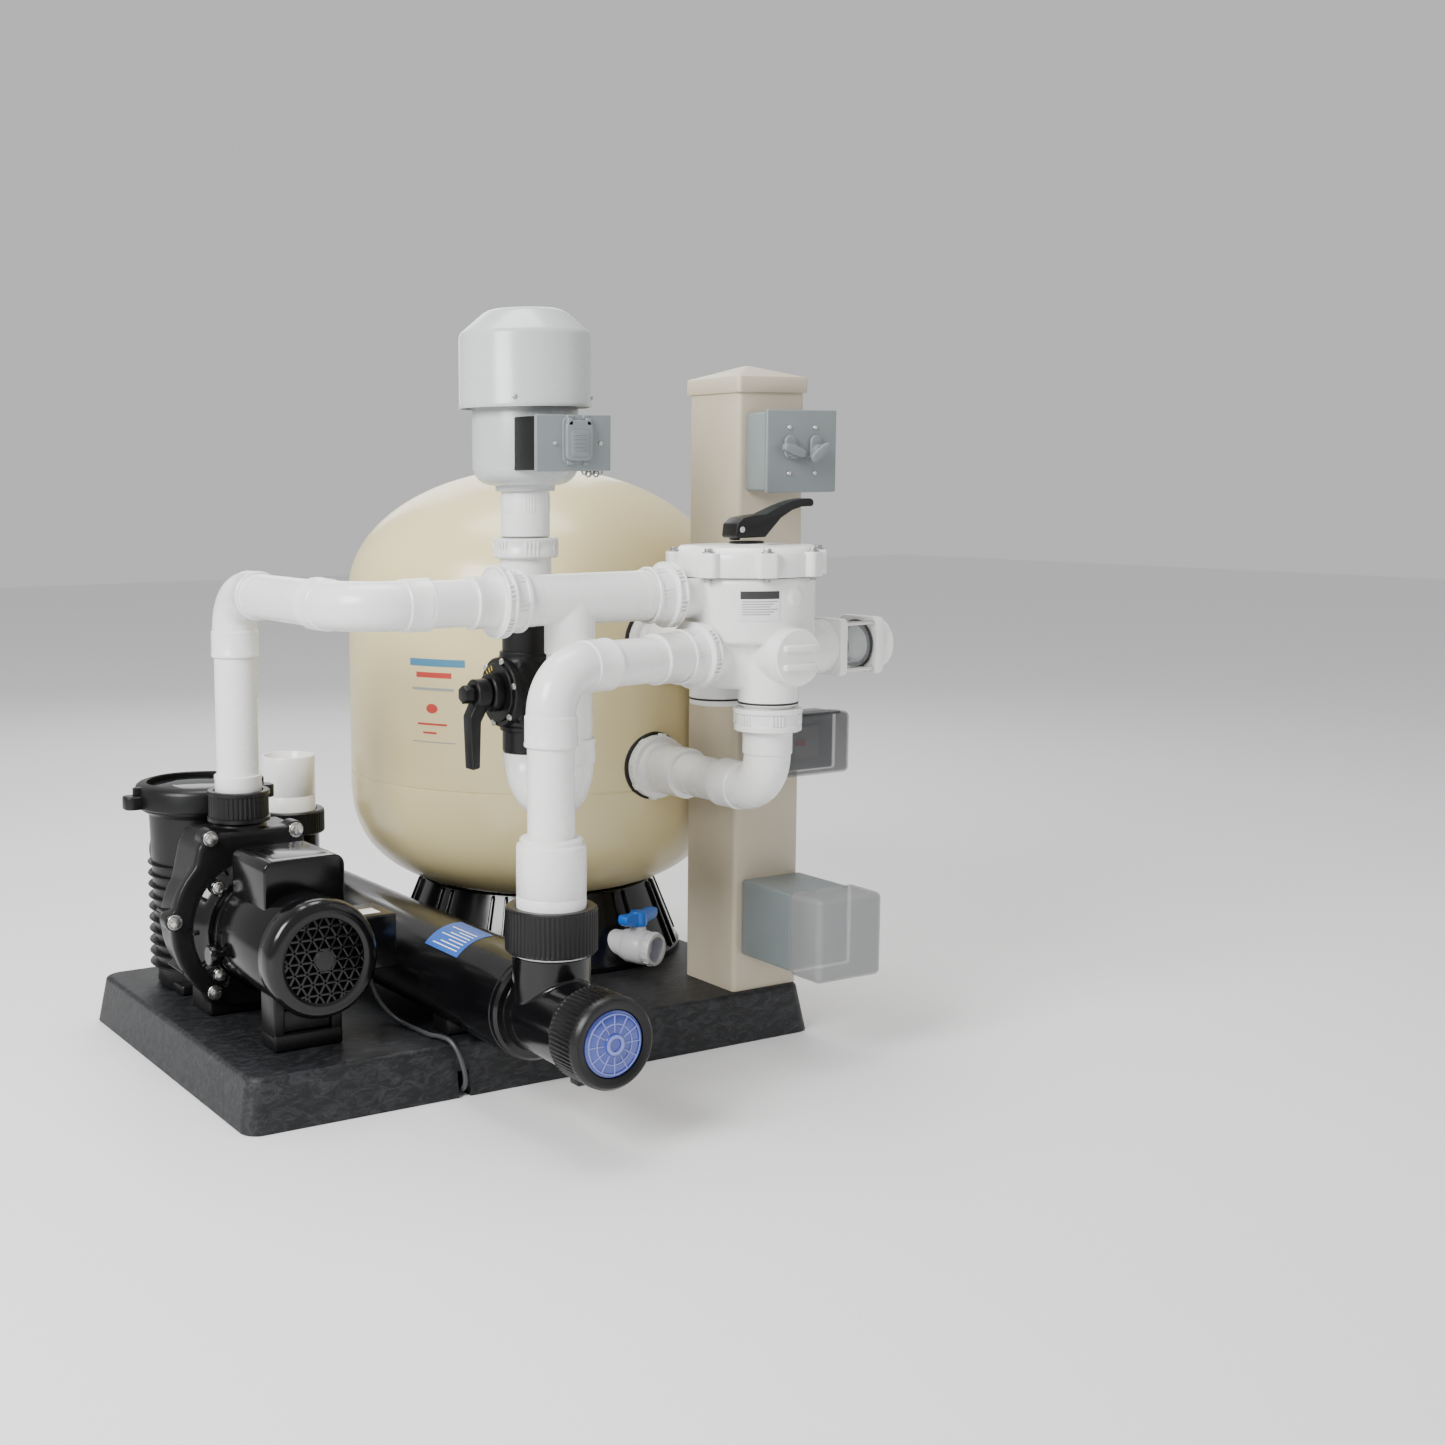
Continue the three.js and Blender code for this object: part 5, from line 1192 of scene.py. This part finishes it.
def wiring_box():
    """The blower's wiring box: a black spacer, a grey cover plate and a small flip lid."""
    spacer = block(-66, -367.6, 836, 45, -300, 905, 1.6)
    add("wiring_spacer", spacer, "black", stands_for=["blower_wiring_box"])
    plate = block(-67.6, -374, 834.4, 46.6, -367.8, 906.6, 1.8)
    add("wiring_plate", plate, "box")
    surround = prism(rounded_rectangle(46, 60, 8, 6), 0, 2.4, 0.9).at(-6, -374.0, 874.0, "-y")
    lugs = total(block(x - 5, -378, z0, x + 5, -373, z0 + 6, 1.2) for x in (-18, 6) for z0 in (842, 900))
    add("wiring_lid_surround", surround + lugs, "box")
    screws = total(pan_screw(3.0, 2.0).at(x, -374.0, 870, "-y") for x in (-40, 30))
    add("wiring_screws", screws, "steel")
    gland = total(ring(5, 3, 0, 2.4, 0.5, 20).at(18 + 6 * i, -356, 834 - 3 * (i % 2), "y")
        for i in range(5))
    add("wiring_chain", gland, "dull_steel")
    lid = prism(rounded_rectangle(40, 52, 9, 6), 0, 5.4, 1.4).at(-6, -376.6, 873.5, "-y")
    rim = prism(rounded_rectangle(27, 34, 4, 6), 5.0, 6.6, 0.6).at(-6, -376.6, 870, "-y")
    ridges = total(block(-16, -384.0, 860 + 5 * i, 4, -382.6, 862 + 5 * i, 0.4, 2) for i in range(5))
    ears = total(block(x - 4, -382, 892, x + 4, -375, 902, 1.4) for x in (-20, 8))
    add("wiring_flip_lid", lid + rim + ridges + ears, "box", "blower_lid", ["blower_flip_lid"])


def air_valve():
    """The black quarter-turn valve in the air line, with its bonnet, ticks and lever."""
    z = 540
    column = lathe([(0, 456.4), (32.4, 456.4), (32.4, 489), (39, 494), (40, 500), (40, 580), (38, 586),
        (32.4, 591),
                    (32.4, 639.6), (0, 639.6)], 72)
    branch = rod(40, 0, 46, rim=1).at(0, 0, z, "-x")
    flats = block(-34, -37, 500, 20, 37, 582, 8)
    add_moulded("air_valve_housing", at_blower(column + branch + flats), "black",
        voxel=1.8, rounds=5,
                stands_for=["air_valve_body"])
    collar = rod(47, 32, 44, 72, 1.4).at(0, 0, z, "-x") + rod(40, 44, 47, 72, 1).at(0, 0, z, "-x")
    collar = collar + rod(26, 46, 61.6, 60, 2).at(0, 0, z, "-x")
    collar = collar + rod(36, 0, 8, 72, 1).at(0, 0, 586) + rod(36, 0, 8, 72, 1).at(0, 0, 486)
    add("air_valve_bonnet", at_blower(collar), "black")
    screw = pan_screw(4.6, 3.2).at(0, 43.5, 44, "z")
    screws = around(screw, 6, 15).at(0, 0, z, "-x")
    add("air_valve_screws", at_blower(screws), "steel")
    tick = block(30, -1.1, 0, 37, 1.1, 0.5, 0.2, 1)
    ticks = total(tick.turned(angle).at(z=47) for angle in (-160, -148, -136, -124, -112, -100))
    add("air_valve_ticks", at_blower(ticks.turned(180).at(0, 0, z, "-x")), "yellow")
    hub = rod(20, 62.4, 84, 48, 2).at(0, 0, 0, "-x")
    knob = prism([(13 * math.cos(math.radians(60 * i)), 13 * math.sin(math.radians(60 * i)))
        for i in range(6)],
                 80, 99.6, 1.5).at(0, 0, 0, "-x")
    arm = prism([(-66, 14), (-66, -20), (-76, -38), (-78, -100), (-90, -102), (-93, -30), (-84, -12),
        (-84, 14)],
                -11, 11, 2.5, 4).by(Matrix.Rotation(math.pi / 2, 4, "X"))
    stem = rod(9.2, 14, 70, 24).at(axis="-x")
    lever = (hub + knob + arm + stem).at(BLOWER["x"], BLOWER["y"], z)
    add("air_valve_handle", lever, "black", "air_lever", ["air_valve_lever"])


def u_bend():
    """The return bend under the air valve and the riser to the tee."""
    bend = (BLOWER["y"] - MANIFOLD_Y) / 2
    tube = arc_bar(BEND, bend, 180.0, 40).turned(90).by(Matrix.Rotation(math.pi, 4, "X"))
    tube = tube.at(BLOWER["x"], BLOWER["y"], 455.4)
    add("air_bend", tube, "pvc", stands_for=["air_u_bend"])
    leg = socket(0, 34).at(BLOWER["x"], MANIFOLD_Y, 454)
    add("air_bend_socket", leg, "pvc")
    add("air_riser", rod(PIPE, 480, 600).at(BLOWER["x"], MANIFOLD_Y), "pvc")


# ---------------------------------------------------------------- UV unit
def along_uv(shape):
    """Lays a shape made along +Z on the UV unit's axis, heading +Y."""
    return shape.at(UV["x"], 0, UV["z"], "y")


def uv_nut(shape_x, shape_y, z0, z1, name, node):
    """A ribbed black collar about a vertical port."""
    def wave(index, side):
        return -1.6 if index in (3, 4) and side % 4 >= 2 else 0.0

    nut = lathe(closed([(45.4, z0), (57, z0), (59, z0 + 2), (59, z0 + 5), (59, z1 - 6), (58.4, z1 - 2),
        (56, z1),
                        (47, z1), (45.4, z1 - 2)]), 240, wave)
    return add(name, nut.at(shape_x, shape_y), "black", stands_for=node)


def uv_unit():
    """The UV clarifier: a black barrel on saddles, ports, collars, lens and lamp."""
    radius, back = UV["radius"], UV["back"]
    barrel = lathe([(0, -430), (64, -430), (radius, -426), (radius, back - 14), (radius - 4, back - 5),
                    (radius - 14, back), (0, back)], 120)
    nose = lathe([(0, -541.6), (52, -541.6), (54, -539), (54, -431), (60, -424), (66, -420), (0, -414)], 96)
    port = rod(50, UV["z"], 232, 96, 1.2).at(UV["x"], UV["port_y"])
    moulding = along_uv(nose) + port
    add_moulded("uv_nose", moulding, "gloss_black", voxel=2.0, rounds=6)
    add("uv_barrel_tube", along_uv(barrel), "gloss_black", stands_for=["uv_barrel"])
    band = along_uv(ring(69.0, 60, -418, -330, 1.5, 120))
    add("uv_barrel_sleeve", band, "gloss_black")
    rear = rod(50, UV["z"], 249.8, 96, 1.2).at(UV["x"], UV["rear_y"])
    add("uv_rear_port", rear, "gloss_black")
    saddles = total(block(-44, y - 22, 72.5, 44, y + 22, 110, 4.0).at(UV["x"]) for y in (-240, 240))
    add("uv_saddles", saddles, "black")
    foot = block(-9, -534, 76, 9, -514, 110, 2.5).at(UV["x"])
    add("uv_foot", foot, "black")
    uv_nut(UV["x"], UV["port_y"], 233, 290.6, "uv_front_collar", ["uv_port_nut"])
    seal = ring(51.5, 44, 229.5, 233, 1.2, 96).at(UV["x"], UV["port_y"])
    add("uv_front_seal", seal, "pvc")
    uv_nut(UV["x"], UV["rear_y"], 250.6, 288.6, "uv_rear_collar", ["uv_rear_coupling"])
    coupling = lathe(closed([(39, 262), (44.4, 262), (44.4, 312), (43.7, 313), (44.4, 314), (44.4, 376),
        (43.4, 377.8),
                             (40, 377.8), (39, 376.5)]), 96)
    add("uv_rear_pipe", coupling.at(UV["x"], UV["rear_y"]), "pvc")
    uv_end()
    repaint("uv_lamp", "clear")
    uv_label()


def uv_end():
    """The ribbed end collar and the ridged blue lens."""
    front = UV["front"]

    def wave(index, side):
        return -1.8 if index in (3, 4) and side % 4 >= 2 else 0.0

    collar = lathe(closed([
        (42, -542.6), (57, -542.6), (59, -545), (58.6, -548), (58.6, front + 14), (59, front + 12),
        (58, front + 5),
        (54, front + 0.6), (49, front + 0.2), (46, front + 2), (43, front + 3), (42, front + 6),
    ]), 240, wave)
    add("uv_end_collar", along_uv(collar), "black", stands_for=["uv_end_nut"])
    lens = lathe([
        (0, front + 12), (41.4, front + 12), (41.4, front + 4), (38, front + 2.4), (25, front + 1.4),
        (24, front + 2.2), (14, front + 1.6), (13, front - 1.4), (9.5, front - 1.8), (8.5, front + 0.5),
        (0, front + 0.5),
    ], 96)
    add("uv_lens_disc", along_uv(lens), "lens", stands_for=["uv_lens"])
    spoke = block(15, -0.7, front + 0.6, 38, 0.7, front + 3, 0.3, 2)
    rings = total(ring(r, r - 1.4, front + 0.8, front + 3, 0.4, 96) for r in (26, 38))
    add("uv_lens_ridges", along_uv(around(spoke, 12) + rings), "lens_light")
    button = along_uv(ring(13, 8.6, front - 1.9, front + 1, 0.8, 64))
    add("uv_lens_button", button, "lens_light")


def uv_label():
    """A generic blue label wrapped on the barrel, with pale bars and no lettering."""
    radius = UV["radius"]

    def wrap(start, end, y0, y1, lift, thickness=0.2):
        return along_uv(patch(radius + lift, start, end, y0, y1, thickness))

    add("uv_label", wrap(-138, -84, -330 + 28, -330 + 118, 0.2), "label_blue")
    bars = total(wrap(-132 + 5 * i, -130.9 + 5 * i, -292, -226 - 14 * (i % 3), 0.4) for i in range(7))
    add("uv_label_bars", bars, "label_white")


# ---------------------------------------------------------------- boxes on the post
def cast_box(x0, x1, y0, y1, z0, z1, name, node):
    """A cast wiring box."""
    add(name, block(x0, y0, z0, x1, y1, z1, 4.0, 4), "box", stands_for=[node])


def switch_box():
    """The two-gang switch box with its cover, screws and toggles."""
    face = -337
    cast_box(336, 455, -331.4, -284.4, 805, 915, "switch_box_body", "switch_box")
    cover = block(333.2, face, 802.2, 457.8, -331, 917.8, 2.4, 4)
    bosses = total(
        prism(rounded_rectangle(20, 34, 9.5, 8), 0, 5.5, 1.8).at(x, face, 866, "-y") for x in (372, 418)
    )
    add("switch_cover", cover + bosses, "box")
    seam = block(334.6, -331.6, 803.6, 456.4, -330.2, 916.4, 0.3, 2)
    add("switch_gasket", seam, "rubber")
    screws = total(pan_screw(3.4, 2.0).at(x, face, z, "-y") for x in (372, 418) for z in (829, 893))
    add("switch_cover_screws", screws, "steel")
    for name, x, lean in (("toggle_left", 372, 18), ("toggle_right", 418, -35)):
        boss = rod(9.5, 0.4, 13, 32, 1.5).at(axis="-y")
        blade = prism([(-22, -3), (-20, -5), (-6, -7), (8, -6), (15, -4), (16, 0), (15, 4), (8, 6),
            (-6, 7), (-20, 5),
                       (-22, 3)], 10, 19.6, 2.0, 3).at(axis="-y")
        paddle = (boss + blade.by(Matrix.Rotation(math.radians(lean), 4, "Y"))).at(x, face, 860)
        add(name + "_paddle", paddle, "box", name, [name])


def hollow_cover(x0, x1, y0, y1, z0, z1, wall=2.6, bevel=9.0):
    """A see-through lid: a rounded box open at the back (y1)."""
    outer = block(x0, y0, z0, x1, y1, z1, bevel, 6)
    return outer, block(x0 + wall, y0 + wall, z0 + wall, x1 - wall, y1 + 20, z1 - wall, bevel - wall, 6)


def add_cover(name, node, body, corners, material):
    """Adds a hollow see-through cover."""
    outer, inner = hollow_cover(*corners)
    piece = add(name, outer, material, body)
    carve(piece, inner)
    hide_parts(node)


def receptacle_box():
    """The in-use receptacle box at the back of the valve."""
    cast_box(341, 472, -325, -284.4, 401, 485, "outlet_box_body", "outlet_box")
    add_cover("outlet_cover_shell", "outlet_cover", "outlet_cover", (338, 475, -360, -325.6, 398, 488),
        "smoke")
    spine = block(352, -352, 484, 462, -327, 487.8, 1.6)
    knuckles = total(rod(4, -12, 12, 24, 0.8).at(x, -330, 484, "x") for x in (372, 440))
    add("outlet_cover_hinge", spine + knuckles, "black", "outlet_cover")
    socket_face = block(372, -330, 420, 440, -325, 466, 1.2)
    add("outlet_face", socket_face, "ink_grey")
    buttons = block(398, -332, 438, 414, -330, 446, 0.6)
    add("outlet_button", buttons, "ink_red")


def timer_box():
    """The timer's box and its deep clear cover."""
    cast_box(338, 445, -395, -284.4, 128, 240, "timer_box_body", "timer_box")
    add_cover("timer_cover_shell", "timer_cover", "timer_cover", (334, 449, -462, -395.6, 124, 244),
        "frost")
    nubs = total(rod(3.6, -7, 7, 20, 1).at(x, -412, 242, "x") for x in (362, 420))
    add("timer_cover_nubs", nubs, "frost", "timer_cover")
    dial = rod(26, 0, 10, 64, 2).at(391, -395, 190, "-y")
    add("timer_dial", dial, "ink_grey")


# ---------------------------------------------------------------- studio
def studio():
    """A pale floor, a white surround and large soft lights."""
    half = 12.0
    floor = bpy.data.meshes.new("floor")
    floor.from_pydata([(-half, -half, 0), (half, -half, 0), (half, half, 0), (-half, half, 0)], [],
        [(0, 1, 2, 3)])
    plane = bpy.data.objects.new("floor", floor)
    floor.materials.append(shader("floor_white", (0.86, 0.86, 0.86), 0.6)[0])
    bpy.context.scene.collection.objects.link(plane)
    world = bpy.data.worlds.new("studio")
    world.use_nodes = True
    world.node_tree.nodes["Background"].inputs["Color"].default_value = (1.0, 1.0, 1.0, 1.0)
    world.node_tree.nodes["Background"].inputs["Strength"].default_value = 0.62
    bpy.context.scene.world = world
    lights = (
        ("key", (-3.0, -1.3, 2.5), 1.6, 210.0),
        ("fill", (2.6, -2.8, 1.6), 2.0, 10.0),
        ("top", (0.0, 0.2, 3.4), 1.6, 75.0),
        ("back", (1.5, 3.0, 2.2), 2.0, 35.0),
    )
    for name, place, size, power in lights:
        data = bpy.data.lights.new(name, "AREA")
        data.shape = "SQUARE"
        data.size = size
        data.energy = power
        light = bpy.data.objects.new(name, data)
        light.location = place
        aim = Vector((0.0, 0.0, 0.45)) - Vector(place)
        light.rotation_euler = aim.to_track_quat("-Z", "Y").to_euler()
        bpy.context.scene.collection.objects.link(light)


# ---------------------------------------------------------------- the whole object
motor_cord()
base_pad()
post()
tank()
drain_valve()
pump_pot()
pump_volute()
pump_front()
discharge_nut()
discharge_line()
air_tee()
return_line()
tank_line()
valve()
sight_glass()
blower()
uv_unit()
switch_box()
receptacle_box()
timer_box()
studio()
